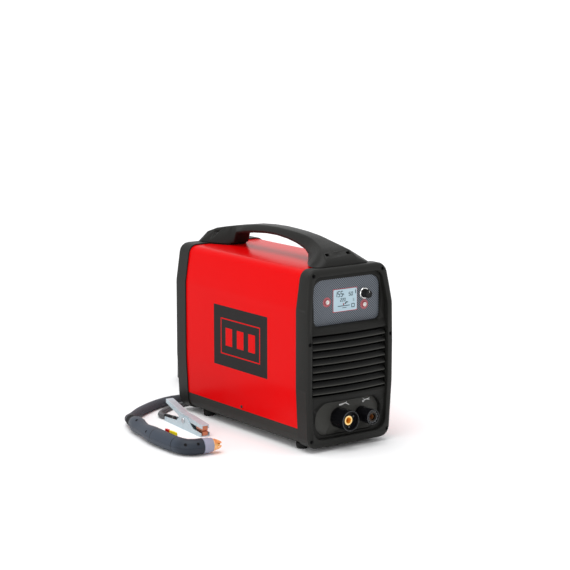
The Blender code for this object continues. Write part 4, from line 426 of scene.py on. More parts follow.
def button_cap():
    """White in the middle, dull pink round it."""
    made = moulded("button_cap", (0.80, 0.79, 0.75), 0.40, 2400, 0.1)
    x, _, z = made.axes()
    middle = made.spots(x, z, BUTTONS, 0.0037)
    made.paint(middle, (0.42, 0.115, 0.130), made.tone())
    return made


# ---------------------------------------------------------------- shapes
def heading(degrees, first=RIGHT, second=REARWARD):
    """The direction at an angle from one direction towards another."""
    turn = math.radians(degrees)
    return first * math.cos(turn) + second * math.sin(turn)


def block(low, high, bevel=0.0, segments=2):
    bm = bmesh.new()
    bmesh.ops.create_cube(bm, size=1.0)
    low, high = Vector(low), Vector(high)
    bmesh.ops.scale(bm, vec=high - low, verts=bm.verts)
    bmesh.ops.translate(bm, vec=(low + high) / 2, verts=bm.verts)
    if bevel:
        bmesh.ops.bevel(bm, geom=bm.edges[:], offset=bevel, segments=segments, profile=0.5,
                        affect="EDGES", clamp_overlap=True, material=-1)
    return bm


def turned(outline, centre, axis, steps=32):
    """A (radius, along) outline in millimetres, spun about an axis; one off the axis closes."""
    bm = bmesh.new()
    corners = [bm.verts.new((radius * MM, 0.0, along * MM)) for radius, along in outline]
    solid = min(radius for radius, _ in outline) < 1e-9
    pairs = list(zip(corners, corners[1:])) + ([] if solid else [(corners[-1], corners[0])])
    edges = [bm.edges.new(pair) for pair in pairs]
    bmesh.ops.spin(bm, geom=corners + edges, cent=(0, 0, 0), axis=UP, dvec=(0, 0, 0),
                   angle=math.tau, steps=steps, use_merge=True)
    bmesh.ops.remove_doubles(bm, verts=bm.verts, dist=1e-6)
    turn = UP.rotation_difference(Vector(axis).normalized()).to_matrix().to_4x4()
    bmesh.ops.transform(bm, matrix=Matrix.Translation(centre) @ turn, verts=bm.verts)
    return bm


def pushed(bm, faces, offset):
    """A shape with its faces extruded along a vector."""
    made = bmesh.ops.extrude_face_region(bm, geom=faces)["geom"]
    bmesh.ops.translate(bm, vec=offset,
                        verts=[item for item in made if isinstance(item, bmesh.types.BMVert)])
    return bm


def plate(corners, offset):
    """A flat outline pushed out along a vector."""
    bm = bmesh.new()
    return pushed(bm, [bm.faces.new([bm.verts.new(corner) for corner in corners])], offset)


def studded(count, half, bevel, centre, ahead, side, reach):
    """Equal blocks in a ring about an axis; half is their size across, along and outwards."""
    blocks = []
    for index in range(count):
        out = heading(360 * index / count, side, ahead.cross(side))
        stud = block(-Vector(half), half, bevel, 1)
        facing = Matrix((ahead.cross(out), ahead, out)).transposed().to_4x4()
        bmesh.ops.transform(stud, matrix=Matrix.Translation(centre + out * reach) @ facing,
                            verts=stud.verts)
        blocks.append(stud)
    return blocks


def gathered(*parts):
    """Several shapes as one piece."""
    whole = bmesh.new()
    for part in parts:
        bmesh.ops.recalc_face_normals(part, faces=part.faces)
        scratch = bpy.data.meshes.new("scratch")
        part.to_mesh(scratch)
        part.free()
        whole.from_mesh(scratch)
        bpy.data.meshes.remove(scratch)
    return whole


def stroke(start, end, width, y):
    """A thin printed line between two points (x, z) that faces the front."""
    start, end = Vector(start), Vector(end)
    aside = Vector((-(end - start).y, (end - start).x)).normalized() * width / 2
    corners = [start + aside, end + aside, end - aside, start - aside]
    return plate([(corner.x, y, corner.y) for corner in corners], (0, -PRINT, 0))


def strokes(rows, y, left, low):
    """Printed lines given in millimetres from one corner: start, end and width."""
    return [stroke((left + a * MM, low + b * MM), (left + c * MM, low + d * MM), width * MM, y)
            for a, b, c, d, width in rows]


def arc(centre, radius, start, end, width, y, steps=14):
    """A thin printed arc in the front's plane, as short strokes."""
    turns = [math.radians(start + (end - start) * step / steps) for step in range(steps + 1)]
    points = [(centre[0] + radius * math.cos(turn), centre[1] + radius * math.sin(turn))
              for turn in turns]
    return [stroke(a, b, width, y) for a, b in zip(points, points[1:])]


def placed(name, data, body):
    """An object that rides on its body."""
    made = bpy.data.objects.new(name, data)
    bpy.context.scene.collection.objects.link(made)
    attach(made, body)
    return made


def piece(name, bm, finish, body, replaces=(), smooth=35, edge=0.0):
    """A finished object from a shape."""
    bmesh.ops.remove_doubles(bm, verts=bm.verts, dist=1e-7)
    bmesh.ops.recalc_face_normals(bm, faces=bm.faces)
    mesh = bpy.data.meshes.new(name)
    bm.to_mesh(mesh)
    bm.free()
    mesh.shade_smooth()
    mesh.set_sharp_from_angle(angle=math.radians(smooth))
    mesh.materials.append(finish.material)
    made = placed(name, mesh, body)
    if edge:
        rounding = made.modifiers.new("edges", "BEVEL")
        rounding.width, rounding.segments, rounding.limit_method = edge, 2, "ANGLE"
        rounding.angle_limit = math.radians(40)
    if replaces:
        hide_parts(*replaces)
    return made


def trim(name, shapes, finish, body="machine"):
    """Small shapes as one piece."""
    return piece(name, gathered(*shapes), finish, body)


def skin(node, finish, edge=0.0, smooth=30):
    """A merged, smooth copy of a CAD node that stands for it."""
    bm = bmesh.new()
    bm.from_mesh(frame["nodes"][node].data)
    bmesh.ops.remove_doubles(bm, verts=bm.verts, dist=1e-5)
    bmesh.ops.dissolve_limit(bm, angle_limit=math.radians(0.4), verts=bm.verts, edges=bm.edges)
    return piece(node + "_skin", bm, finish, BODY_OF[node], (node,), smooth, edge)


def coat(finish, *nodes):
    """A better material on CAD nodes whose shape is right."""
    for node in nodes:
        for slot in frame["nodes"][node].material_slots:
            slot.material = finish.material


def screw_head(centre, axis, radius, height):
    """A pan head with a round recess, which points along the axis; radius and height in mm."""
    outline = [(0, 0), (radius, 0), (radius, height * 0.45), (radius * 0.86, height * 0.85),
               (radius * 0.55, height), (radius * 0.50, height), (radius * 0.46, height * 0.35),
               (0, height * 0.35)]
    return turned(outline, centre, axis, 18)


def smooth_line(points, spacing):
    """Evenly spaced points on a smooth curve through the given ones."""
    knots = [Vector(point) for point in points]
    knots = [2 * knots[0] - knots[1]] + knots + [2 * knots[-1] - knots[-2]]
    fine = []
    for before, start, end, after in zip(knots, knots[1:], knots[2:], knots[3:]):
        for step in range(16):
            t = step / 16
            fine.append(0.5 * (2 * start + (end - before) * t
                               + (2 * before - 5 * start + 4 * end - after) * t ** 2
                               + (3 * start - before - 3 * end + after) * t ** 3))
    return even_line(fine + [knots[-2]], spacing)


def even_line(fine, spacing):
    total = sum((b - a).length for a, b in zip(fine, fine[1:]))
    count = max(2, round(total / spacing))
    even, walked, index = [fine[0]], 0.0, 0
    for number in range(1, count):
        target = total * number / count
        while walked + (fine[index + 1] - fine[index]).length < target:
            walked += (fine[index + 1] - fine[index]).length
            index += 1
        reach = (fine[index + 1] - fine[index]).length
        even.append(fine[index].lerp(fine[index + 1], (target - walked) / reach))
    return even + [fine[-1]]


def length_of(points):
    return sum((b - a).length for a, b in zip(points, points[1:]))


def wire(name, points, diameter, finish, body, resolution):
    """A round cord along points, as a curve of one open spline."""
    curve = bpy.data.curves.new(name, "CURVE")
    curve.dimensions = "3D"
    curve.bevel_depth, curve.bevel_resolution = diameter / 2, resolution
    curve.use_fill_caps = True
    curve.twist_mode = "Z_UP"
    spline = curve.splines.new("POLY")
    spline.points.add(len(points) - 1)
    for knot, point in zip(spline.points, points):
        knot.co = (*point, 1.0)
    spline.use_smooth = True
    curve.materials.append(finish.material)
    return placed(name, curve, body)


# ---------------------------------------------------------------- leads
def eased(share):
    return 0.5 - 0.5 * math.cos(math.pi * share)


def lead_line(route, diameter, length, start_angle, plug_radius):
    """Points of a lead: its loose stretch, its coil and the arc that carries the plug.

    The start angle is in degrees; the length is that of the whole lead.
    """
    lifted = [(x * MM, y * MM, FLOOR + diameter / 2 + lift * MM) for x, y, lift in route]
    loose = smooth_line(lifted, 0.004)
    radius = (length - length_of(smooth_line(lifted, 0.01))) / math.radians(COIL_STEPS[-1][0])
    centre = loose[-1] - heading(start_angle) * (radius + diameter)
    centre.z = FLOOR + diameter / 2
    coil = []
    for (angle, out, up), (next_angle, next_out, next_up) in zip(COIL_STEPS, COIL_STEPS[1:]):
        for step in range(0, next_angle - angle, 5):
            share = eased(step / (next_angle - angle))
            coil.append((angle + step, out + (next_out - out) * share, up + (next_up - up) * share))
    points = []
    for angle, out, up in coil[1:] + [COIL_STEPS[-1]]:
        lift = up * diameter
        if angle > PLUG_ARC:
            share = (angle - PLUG_ARC) / (COIL_STEPS[-1][0] - PLUG_ARC)
            lift += (plug_radius - diameter / 2) * eased(share)
        points.append(centre + heading(start_angle + angle) * (radius + out * diameter) + UP * lift)
    return even_line(loose + points, diameter * 0.95), radius, centre


def coil_tie(centre, radius, diameter, angle, width, grow):
    """A strap round the wound turns at one angle, in degrees."""
    out = heading(angle)
    ahead = UP.cross(out)
    half, corner = diameter * 1.5 + grow, diameter * 0.42
    low, high = -diameter / 2 + 0.0001, diameter * 2.5 + grow
    middle = (low + high) / 2
    flat = [(-half + corner, low), (half - corner, low), (half, low + corner), (half, high - corner),
            (half - corner, high), (-half + corner, high), (-half, high - corner),
            (-half, low + corner)]
    bm = bmesh.new()
    rings = []
    for inset in (0.0, 0.0012):
        wide, tall = 1 - inset / half, 1 - inset / (high - middle)
        rings.append([bm.verts.new(centre + out * (radius + u * wide) - ahead * width / 2
                                   + UP * (middle + (v - middle) * tall)) for u, v in flat])
    outer, inner = rings
    for index in range(8):
        after = (index + 1) % 8
        bm.faces.new((outer[index], outer[after], inner[after], inner[index]))
    return pushed(bm, bm.faces[:], ahead * width)


class CUTTER_OT_leads(bpy.types.Operator):
    """The torch's hose and the clamp's cable, with their boot, ties and plugs"""
    bl_idname = "cutter.leads"
    bl_label = "Leads"

    def execute(self, context):
        looks = context.scene.cutter_looks
        rubber = moulded("lead_rubber", (0.016, 0.016, 0.017), 0.62, 1500, 0.2)
        strap = moulded("tie_webbing", (0.012, 0.012, 0.013), 0.85, 3000, 0.6)
        gold = metal("plug_brass", (0.78, 0.55, 0.24), 0.26)
        sleeve = braid("hose_sleeve", (0.062, 0.064, 0.079), 11, 1900)
        grey = Finish("cable_rubber", 0.62)
        cloud = grey.noise(200, 3)
        grey.paint(cloud, (0.070, 0.071, 0.074), (0.120, 0.121, 0.126))
        grey.put("Roughness", cloud * 0.12 + 0.55).bump(grey.noise(1500), 0.15, 0.0002)

        diameter = looks.hose_diameter
        line, radius, centre = lead_line(HOSE_ROUTE, diameter, looks.hose_length, -90, 0.018)
        hose = wire("torch_hose", line, diameter, sleeve, "torch", 7)
        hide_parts("hose_lead", "hose_coil")
        ties = [piece(f"hose_tie_{index}", coil_tie(centre, radius, diameter, angle, 0.014, 0.0009),
                      strap, "torch") for index, angle in enumerate((75, 155, 235), 1)]
        start, ahead = self.plug_end(centre, radius, 10, 0.0605)
        plug = piece("torch_connector", self.connector(start + ahead * 0.0003, ahead), rubber,
                     "torch", ("torch_plug",), 30)
        pin = piece("torch_connector_pin", turned(
            [(0, 0), (4.6, 0), (4.6, 9.5), (3.4, 12.2), (0, 12.2)], start + ahead * 0.0612, ahead, 20),
            gold, "torch")
        boot = piece("hose_strain_relief", self.boot(), rubber, "torch",
                     ("hose_boot",), 30)

        diameter = looks.cable_diameter
        line, radius, centre = lead_line(CABLE_ROUTE, diameter, looks.cable_length, 180, 0.013)
        cable = wire("clamp_lead", line, diameter, grey, "clamp", 5)
        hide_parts("clamp_cable", "cable_coil")
        ties = [piece(f"cable_tie_{index}", coil_tie(centre, radius, diameter, angle, 0.010, 0.0006),
                      strap, "clamp") for index, angle in enumerate((60, 165), 1)]
        start, ahead = self.plug_end(centre, radius, 280, 0.0315)
        plug = piece("clamp_connector", self.bayonet(start + ahead * 0.0003, ahead), rubber, "clamp",
                     ("clamp_plug",), 30)
        start += ahead * 0.0458
        pin = piece("clamp_connector_pin", gathered(
            turned([(0, 0), (6, 0), (6, 21), (4.6, 23.6), (0, 23.6)], start, ahead, 20),
            turned([(0, 0), (1.6, 0), (1.6, 1.4), (0, 1.4)], start + ahead * 0.012 + UP * 0.0056,
                   UP, 10)), gold, "clamp")
        relief = piece("cable_strain_relief", turned(
            [(4.7, 4), (5, 4), (5.1, 10), (4.9, 30), (4.7, 30)], line[0], line[3] - line[0], 18),
            rubber, "clamp", (), 30)
        return {"FINISHED"}

    def plug_end(self, centre, radius, angle, height):
        """Where a coil ends, at an angle in degrees, and the way it points there."""
        out = heading(angle)
        return Vector((centre.x, centre.y, height)) + out * radius, UP.cross(out)

    def connector(self, start, ahead):
        """The torch's connector: sleeve, fluted nut and front collar."""
        body = [(0, 0), (10, 0), (11.5, 2)]
        for ring in range(4):
            along, grow = 3.5 + ring * 4, 11.5 + ring * 0.25
            body += [(grow, along), (grow - 0.7, along + 0.6), (grow - 0.7, along + 1.8),
                     (grow, along + 2.4)]
        body += [(12.5, 20), (15, 22), (15, 30), (15.2, 31.5), (15.2, 56), (14.8, 56.5),
                 (14.8, 60.8), (13.8, 61.2), (0, 61.2)]
        nut = [(15, 32), (17.2, 32), (17.7, 32.8), (17.7, 54.2), (17.2, 55), (15, 55)]
        flutes = studded(15, (0.0010, 0.0095, 0.00055), 0.0004, start + ahead * 0.0435, ahead, UP,
                         0.01735)
        return gathered(turned(body, start, ahead, 28), turned(nut, start, ahead, 30), *flutes)

    def bayonet(self, start, ahead):
        """The clamp's plug: a ribbed rubber sleeve behind its pin."""
        outline = [(0, 0), (6.5, 0), (8, 2), (9.5, 18), (12.7, 21.8)]
        for ring in range(4):
            along = 23.5 + ring * 5.2
            outline += [(12.9, along), (12.9, along + 3), (12.1, along + 3.6), (12.1, along + 4.6)]
        outline += [(12.9, 44.6), (11.4, 45.9), (7.2, 45.9), (7.2, 45.2), (0, 45.2)]
        return turned(outline, start, ahead, 28)

    def boot(self):
        """Ribbed, tapered boot between the torch's shells and the hose."""
        end, back = Vector((-0.2440, 0.1185, TORCH_HEIGHT)), (0.2332, 0.9724, 0)
        outline = [(0, -6), (7.9, -6), (7.9, 0.3), (11.2, 0.3), (11.2, 4.5), (10.6, 5.8)]
        for ring in range(3):
            along, crest, groove = 6.8 + ring * 4.2, 10.8 - ring * 0.2, 9.9 - ring * 0.1
            outline += [(crest, along), (crest, along + 2.2), (groove, along + 2.7),
                        (groove, along + 3.8)]
        outline += [(10.2, 19.8), (8.6, 20), (0, 20)]
        return turned(outline, end, back, 28)


# ---------------------------------------------------------------- machine
class CUTTER_OT_case(bpy.types.Operator):
    """Cover, tray, end frames, feet and their screws"""
    bl_idname = "cutter.case"
    bl_label = "Case"

    def execute(self, context):
        looks = context.scene.cutter_looks
        moulding = bezel_moulding(looks)
        skin("top_cover", cover_paint(looks), smooth=25)
        skin("base_tray", moulded("tray_paint", looks.tray, 0.52, 700, 0.18), smooth=25)
        skin("front_bezel", moulding, smooth=40)
        skin("rear_bezel", moulding, smooth=40)
        # The front screw heads' near-black colour is painted shade of their deep wells.
        steel = metal("screw_steel", (0.010, 0.010, 0.011), 0.5)
        crosses = []
        for index, (x, z) in enumerate([(side * x, z) for x, z in SCREWS for side in (-1, 1)], 1):
            coat(steel, f"front_screw_{index}")
            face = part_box(f"front_screw_{index}")[0].y - 0.00005
            crosses += [block((x - wide, face, z - tall), (x + wide, face + 0.00045, z + tall))
                        for wide, tall in ((0.0016, 0.0003), (0.0003, 0.0016))]
        trim("screw_recesses", crosses, moulded("screw_shadow", (0.004, 0.004, 0.004), 0.7))
        sides = [screw_head((side * 0.0884, -0.001, 0.036), (side, 0, 0.02), 3.1, 1.9)
                 for side in (-1, 1)]
        trim("cover_screws", sides, metal("dark_screw", (0.05, 0.05, 0.05), 0.42))
        rubber = moulded("foot_rubber", (0.013, 0.013, 0.013), 0.78, 1300, 0.3)
        for index in range(1, 5):
            skin(f"foot_{index}", rubber)
        return {"FINISHED"}


class CUTTER_OT_front(bpy.types.Operator):
    """Front panel with its label, display, knob, buttons and sockets"""
    bl_idname = "cutter.front"
    bl_label = "Front panel"

    def execute(self, context):
        looks = context.scene.cutter_looks
        skin("front_panel", panel_moulding(looks))
        piece("grille_slats", self.slats(), slat_moulding(looks), "machine",
              (), 50)
        # A black sheet behind the grille that stands for the shade in the gaps between the slats:
        # painted shade.
        piece("grille_shade_backing",
              block((-0.0790, FRONT + 0.0190, 0.0880), (0.0790, FRONT + 0.0198, 0.2030)),
              moulded("shade_backing_black", (0.002, 0.002, 0.002), 0.9, 700, 0.6),
              "machine")
        skin("control_label", label_film(looks))
        skin("display", lens_glass())
        self.display_figures()
        skin("knob_collar", metal("knob_ring", (0.86, 0.86, 0.86), 0.20))
        skin("encoder_knob", moulded("knob_black", (0.010, 0.010, 0.011), 0.34, 2400, 0.15),
             smooth=25)
        piece("knob_pointer", block((0.0402, LABEL_FACE - 0.01555, 0.2625),
                                    (0.0408, LABEL_FACE - 0.0150, 0.2662)),
              moulded("pointer_white", (0.70, 0.70, 0.68), 0.4), "knob")
        white = button_cap()
        skin("button_left", white)
        skin("button_right", white)
        ink = moulded("button_ink", (0.035, 0.035, 0.040), 0.5)
        x, z = BUTTONS[0]
        slash = stroke((x - 0.0016, z - 0.0014), (x + 0.0016, z + 0.0017), 0.0006, BUTTON_FACE)
        trim("button_left_mark", [slash] + arc((x, z), 0.0024, 100, 260, 0.00045, BUTTON_FACE),
             ink, "left_button")
        trim("button_right_mark", arc(BUTTONS[1], 0.0022, 0, 360, 0.00035, BUTTON_FACE),
             ink, "right_button")
        self.sockets()
        return {"FINISHED"}

    def slats(self):
        """Smooth bowed faces with a rounded lower lip on the grille's slats."""
        first, pitch, gap, count = SLATS
        strips = []
        for index in range(count):
            low = first - index * pitch
            high = low + pitch - gap
            outline = [(0.0112, high - 0.0002), (0.0100, high - 0.0002), (0.0080, high - 0.0034),
                       (0.0064, low + 0.0030), (0.0056, low + 0.0014), (0.0057, low + 0.0004),
                       (0.0068, low + 0.0001), (0.0090, low + 0.0006)]
            strip = plate([(-0.0799, FRONT + depth, z) for depth, z in outline], (0.1598, 0, 0))
            across = [edge for edge in strip.edges
                      if abs(edge.verts[0].co.x - edge.verts[1].co.x) > 0.1]
            bmesh.ops.subdivide_edges(strip, edges=across, cuts=27)
            for vert in strip.verts:
                bulge = max(0.0, 1 - (vert.co.x / PANEL_HALF) ** 2)
                vert.co.y -= 0.00015 + PANEL_BOW * self.swell(vert.co.z) * bulge
            strips.append(strip)
        return gathered(*strips)

    def swell(self, height):
        """How much of the panel's bow there is at a height."""
        def ease(share):
            share = min(max(share, 0.0), 1.0)
            return share * share * (3 - 2 * share)
        return ease((0.262 - height) / 0.062) * ease((height - 0.018) / 0.065)

    def display_figures(self):
        """Readings and a small cutting diagram, made of thin dark strokes on the lens."""
        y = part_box("display")[0].y - 0.00002
        parts = []
        for text, left, bottom, width, height, line in (
                ("155", -0.0245, 0.2592, 0.0040, 0.0092, 0.00125),
                ("50", 0.0060, 0.2592, 0.0032, 0.0058, 0.0010),
                ("220", -0.0128, 0.2505, 0.0027, 0.0052, 0.0008)):
            for place, sign in enumerate(text):
                start, lean = left + place * width * 1.55, 0.12 * height
                parts += [stroke((start + x0 * width + z0 * lean, bottom + z0 * height),
                                 (start + x1 * width + z1 * lean, bottom + z1 * height), line, y)
                          for x0, z0, x1, z1 in FIGURES[sign]]
        parts += strokes((
            (-18, 2.3, 8.5, 2.3, 1.2), (-8, -1.2, 1, -1.2, 0.9), (-2, 5.5, 1.2, 9, 2.2),
            (1.2, 9, 4.5, 7.8, 1.4), (12.5, -1.7, 18.5, -1.7, 1.2), (18.5, -1.7, 18.5, 4.3, 1.2),
            (18.5, 4.3, 12.5, 4.3, 1.2), (12.5, 4.3, 12.5, -1.7, 1.2), (21.2, 21.8, 21.2, 28.4, 1.4),
            (-7.5, 21, -6, 24.2, 0.8), (-6, 24.2, -4.5, 21, 0.8), (15, 9.2, 18.2, 9.2, 0.6),
            (15, 11.2, 18.2, 11.2, 0.6), (15, 13.2, 18.2, 13.2, 0.6)), y, 0.0, 0.24)
        trim("display_figures", parts, moulded("display_ink", (0.018, 0.035, 0.045), 0.5))
        trim("display_arc_mark", arc((-0.0052, 0.2452), 0.0009, 0, 360, 0.0018, y, 10),
             moulded("display_red", (0.30, 0.02, 0.03), 0.5))

    def sockets(self):
        """Both sockets with their contacts, rims, keys and printed signs."""
        black = moulded("socket_black", (0.004, 0.004, 0.005), 0.34, 2400, 0.2)
        grey = moulded("socket_grey", (0.075, 0.078, 0.083), 0.38, 2400, 0.2, 0.35)
        skin("torch_socket", black, edge=0.0003)
        skin("clamp_socket", black, edge=0.0003)
        coat(contact_brass("torch_brass", TORCH_SOCKET, 0.0060, (0.95, 0.68, 0.30),
                           (0.98, 0.46, 0.03)), "torch_contact")
        coat(contact_brass("clamp_copper", CLAMP_SOCKET, 0.0046, (0.045, 0.036, 0.030),
                           (0.34, 0.13, 0.04)), "clamp_contact")
        rims = [turned([(outer - 1.1, 1), (outer - 1.1, 0), (outer - 0.7, 0), (outer - 0.4, 1)],
                       (x, SOCKET_LIP, SOCKET_HEIGHT), REARWARD, 40)
                for x, outer in ((TORCH_SOCKET, 18.4), (CLAMP_SOCKET, 13.6))]
        trim("socket_rims", rims, grey)
        centre = Vector((CLAMP_SOCKET, SOCKET_LIP, SOCKET_HEIGHT))
        crown = studded(12, (0.0013, 0.0013, 0.0010), 0.0003, centre + REARWARD * 0.0025, REARWARD,
                        RIGHT, 0.0103)
        crown.append(turned([(8.7, 1.4), (9.4, 1), (9.4, 3.4), (8.7, 3.4)], centre, REARWARD, 30))
        trim("clamp_socket_crown", crown, grey)
        keys = []
        for turn in (0.6, 2.7, 4.7):
            x, z = TORCH_SOCKET + 0.0115 * math.cos(turn), SOCKET_HEIGHT + 0.0115 * math.sin(turn)
            keys.append(block((x - 0.0015, SOCKET_LIP + 0.0052, z - 0.0015),
                              (x + 0.0015, SOCKET_LIP + 0.0074, z + 0.0015), 0.0003, 1))
        trim("torch_socket_keys", keys, grey)
        y = RECESS_FLOOR - 0.00002
        signs = strokes((
            (0, 0.9, 14.0, 2.6, 1.5), (0.5, -0.6, 9.0, 0.4, 0.8), (14.0, 2.6, 20.5, -0.8, 1.3),
            (15.0, 3.2, 17.5, 4.2, 0.9), (20.5, -0.8, 22.2, -2.4, 0.9)), y, -0.0135, 0.0654)
        signs += arc((0.0401, 0.0654), 0.0015, 0, 360, 0.0009, y, 10)
        signs += strokes((
            (3.0, -0.8, 7.4, 1.4, 1.0), (1.6, 3.6, 3.4, 1.6, 0.9), (3.4, 1.6, 7.4, 1.4, 0.9),
            (7.4, 1.4, 11.0, 1.2, 1.3), (11.0, 1.2, 15.4, 3.4, 1.0), (11.0, 0.8, 15.8, 0.2, 1.0)),
            y, 0.0385, 0.0668)
        trim("socket_signs", signs, moulded("print_white", (0.88, 0.88, 0.86), 0.45))


class CUTTER_OT_rear(bpy.types.Operator):
    """Rear panel with its fan, mains switch, cable gland and air inlet"""
    bl_idname = "cutter.rear"
    bl_label = "Rear panel"

    def execute(self, context):
        looks = context.scene.cutter_looks
        skin("rear_panel", moulded("panel_paint", looks.tray, 0.48, 700, 0.2), smooth=25)
        black = moulded("fan_black", (0.014, 0.014, 0.015), 0.45, 1500, 0.2)
        skin("fan_frame", black)
        skin("fan_rotor", black)
        skin("mains_switch", black, edge=0.0003)
        skin("mains_switch_knob", moulded("switch_red", (0.55, 0.010, 0.012), 0.34, 2200, 0.1),
             edge=0.0004)
        skin("cable_gland", black, smooth=25)
        skin("air_inlet", metal("inlet_brass", (0.74, 0.53, 0.24), 0.28), smooth=25)
        gland = Vector((0.045, REAR - 0.0009, 0.090))
        trim("gland_ribs", studded(14, (0.0010, 0.0034, 0.0004), 0.0003, gland, REARWARD, RIGHT,
                                   0.01195), black)
        heads = [screw_head((x, REAR_FACE, FAN_HEIGHT + z), REARWARD, 3.6, 2.2)
                 for x in (-0.0525, 0.0525) for z in (-0.0525, 0.0525)]
        heads += [screw_head((side * x, REAR_FACE, z), REARWARD, 2.8, 1.8)
                  for x, z in ((0.068, 0.288), (0.074, 0.128), (0.070, 0.026)) for side in (-1, 1)]
        trim("rear_screws", heads, metal("rear_screw_steel", (0.42, 0.42, 0.43), 0.32))
        bar = block((-0.0424, REAR_FACE + 0.0032, 0.1090), (-0.0416, REAR_FACE + 0.00335, 0.1118))
        ring = turned([(1.2, 0), (1.8, 0), (1.8, 0.35), (1.2, 0.35)],
                      (-0.0210, REAR_FACE + 0.0030, 0.088), REARWARD, 20)
        trim("switch_marks", (ring, bar), moulded("mark_white", (0.7, 0.7, 0.68), 0.45))
        return {"FINISHED"}


class CUTTER_OT_handle(bpy.types.Operator):
    """The handle with its two feet"""
    bl_idname = "cutter.handle"
    bl_label = "Handle"

    def execute(self, context):
        looks = context.scene.cutter_looks
        skin("handle", moulded("handle_moulding", tint(looks.moulding, 0.85), 0.36, 1900, 0.30),
             smooth=45)
        return {"FINISHED"}


class CUTTER_OT_inside(bpy.types.Operator):
    """The power parts inside the case"""
    bl_idname = "cutter.inside"
    bl_label = "Inside"

    def execute(self, context):
        aluminium = metal("sink_aluminium", (0.62, 0.63, 0.64), 0.36, 500, (1, 0.05, 1))
        coat(aluminium, "heatsink", "air_valve")
        coat(board_green("power_board_green"), "power_board")
        coat(board_green("control_board_green"), "control_board")
        coat(moulded("capacitor_sleeve", (0.012, 0.012, 0.016), 0.3), "capacitor_1", "capacitor_2")
        coat(moulded("ferrite_grey", (0.050, 0.050, 0.052), 0.72, 900, 0.5), "transformer_core")
        winding = Finish("winding_copper", 0.30, 1.0)
        rows = (winding.axes()[2] * (math.tau / 0.0016)).sine()
        winding.paint(rows * 0.5 + 0.5, (0.30, 0.10, 0.05), (0.74, 0.34, 0.20))
        winding.put("Roughness", rows * 0.08 + 0.30).bump(rows, 0.6, 0.0006)
        coat(winding, "transformer_winding")
        return {"FINISHED"}


# ---------------------------------------------------------------- torch and clamp
class CUTTER_OT_torch(bpy.types.Operator):
    """The hand torch with its trigger, head and nozzle"""
    bl_idname = "cutter.torch"
    bl_label = "Torch"

    def execute(self, context):
        plastic = torch_plastic(context.scene.cutter_looks)
        skin("torch_shell_upper", plastic, smooth=50)
        skin("torch_shell_lower", plastic, smooth=50)
        skin("torch_head", moulded("head_lilac", (0.300, 0.312, 0.400), 0.44, 1600, 0.25))
        skin("torch_trigger", moulded("trigger_red", (0.60, 0.012, 0.014), 0.30, 2000, 0.1),
             edge=0.0007)
        skin("trigger_safety", moulded("safety_yellow", (0.90, 0.72, 0.02), 0.34, 2000, 0.1),
             edge=0.0005)
        self.nozzle()
        # near-black discs in the shell's screw holes: painted shade
        well = [(0, -1.2), (2.5, -1.2), (2.6, 0.4), (2.2, 0.6), (1.9, 0.1), (0, 0.1)]
        holes = []
        for x, y, out_x, out_y, radius, angle in (
                (-0.2626, 0.0280, -0.995, -0.10, 0.0149, 27),
                (-0.2610, -0.0824, -0.72, -0.69, 0.0140, 30),
                (-0.2480, -0.0902, -0.19, -0.98, 0.0140, 33),
                (-0.2507, 0.0895, -0.98, -0.21, 0.0144, 60)):
            out = heading(angle, Vector((out_x, out_y, 0)), UP)
            holes.append(turned(well, Vector((x, y, TORCH_HEIGHT)) + out * radius, out, 18))
        trim("torch_screw_wells", holes, moulded("screw_hole_shade", (0.003, 0.003, 0.004), 0.6),
             "torch")
        return {"FINISHED"}

    def nozzle(self):
        """The copper shield cap: a collar, four tapered prongs and the tip between them."""
        start = Vector((-0.2179, -0.0956, TORCH_HEIGHT))
        ahead = Vector((0.9854, -0.1703, 0)).normalized()
        copper = metal("nozzle_copper", (0.98, 0.52, 0.20), 0.30, 1400)
        copper.put("Metallic", 0.45)
        collar = [(7, 0.3), (11.4, 0.3), (11.3, 1.8), (10.4, 3), (10, 6.2), (9, 7.6), (7.2, 8)]
        parts = [turned(collar, start, ahead, 28)]
        prong = ((6, 7.4), (6, 9.8), (11, 9.2), (16, 6.2), (17.2, 4), (15, 3.6), (11, 6.6))
        for index in range(4):
            out = heading(45 + 90 * index, ahead.cross(UP), UP)
            side = ahead.cross(out) * 0.0014
            parts.append(plate([start + (ahead * along + out * away) * MM - side
                                for along, away in prong], side * 2))
        piece("torch_shield", gathered(*parts), copper, "torch", ("torch_nozzle",), 30,
              0.0003)
        tip = turned([(0, 4), (6.8, 4), (6.8, 7.5), (4.8, 11.5), (2.4, 14.8), (0.9, 15.2), (0.8, 13),
                      (0, 13)], start, ahead, 24)
        piece("torch_tip", tip, metal("tip_brass", (0.95, 0.60, 0.18), 0.26), "torch")


def clamp_point(along, height, aside=0.0):
    return CLAMP_REAR + CLAMP_AHEAD * along + UP.cross(CLAMP_AHEAD) * aside + UP * height


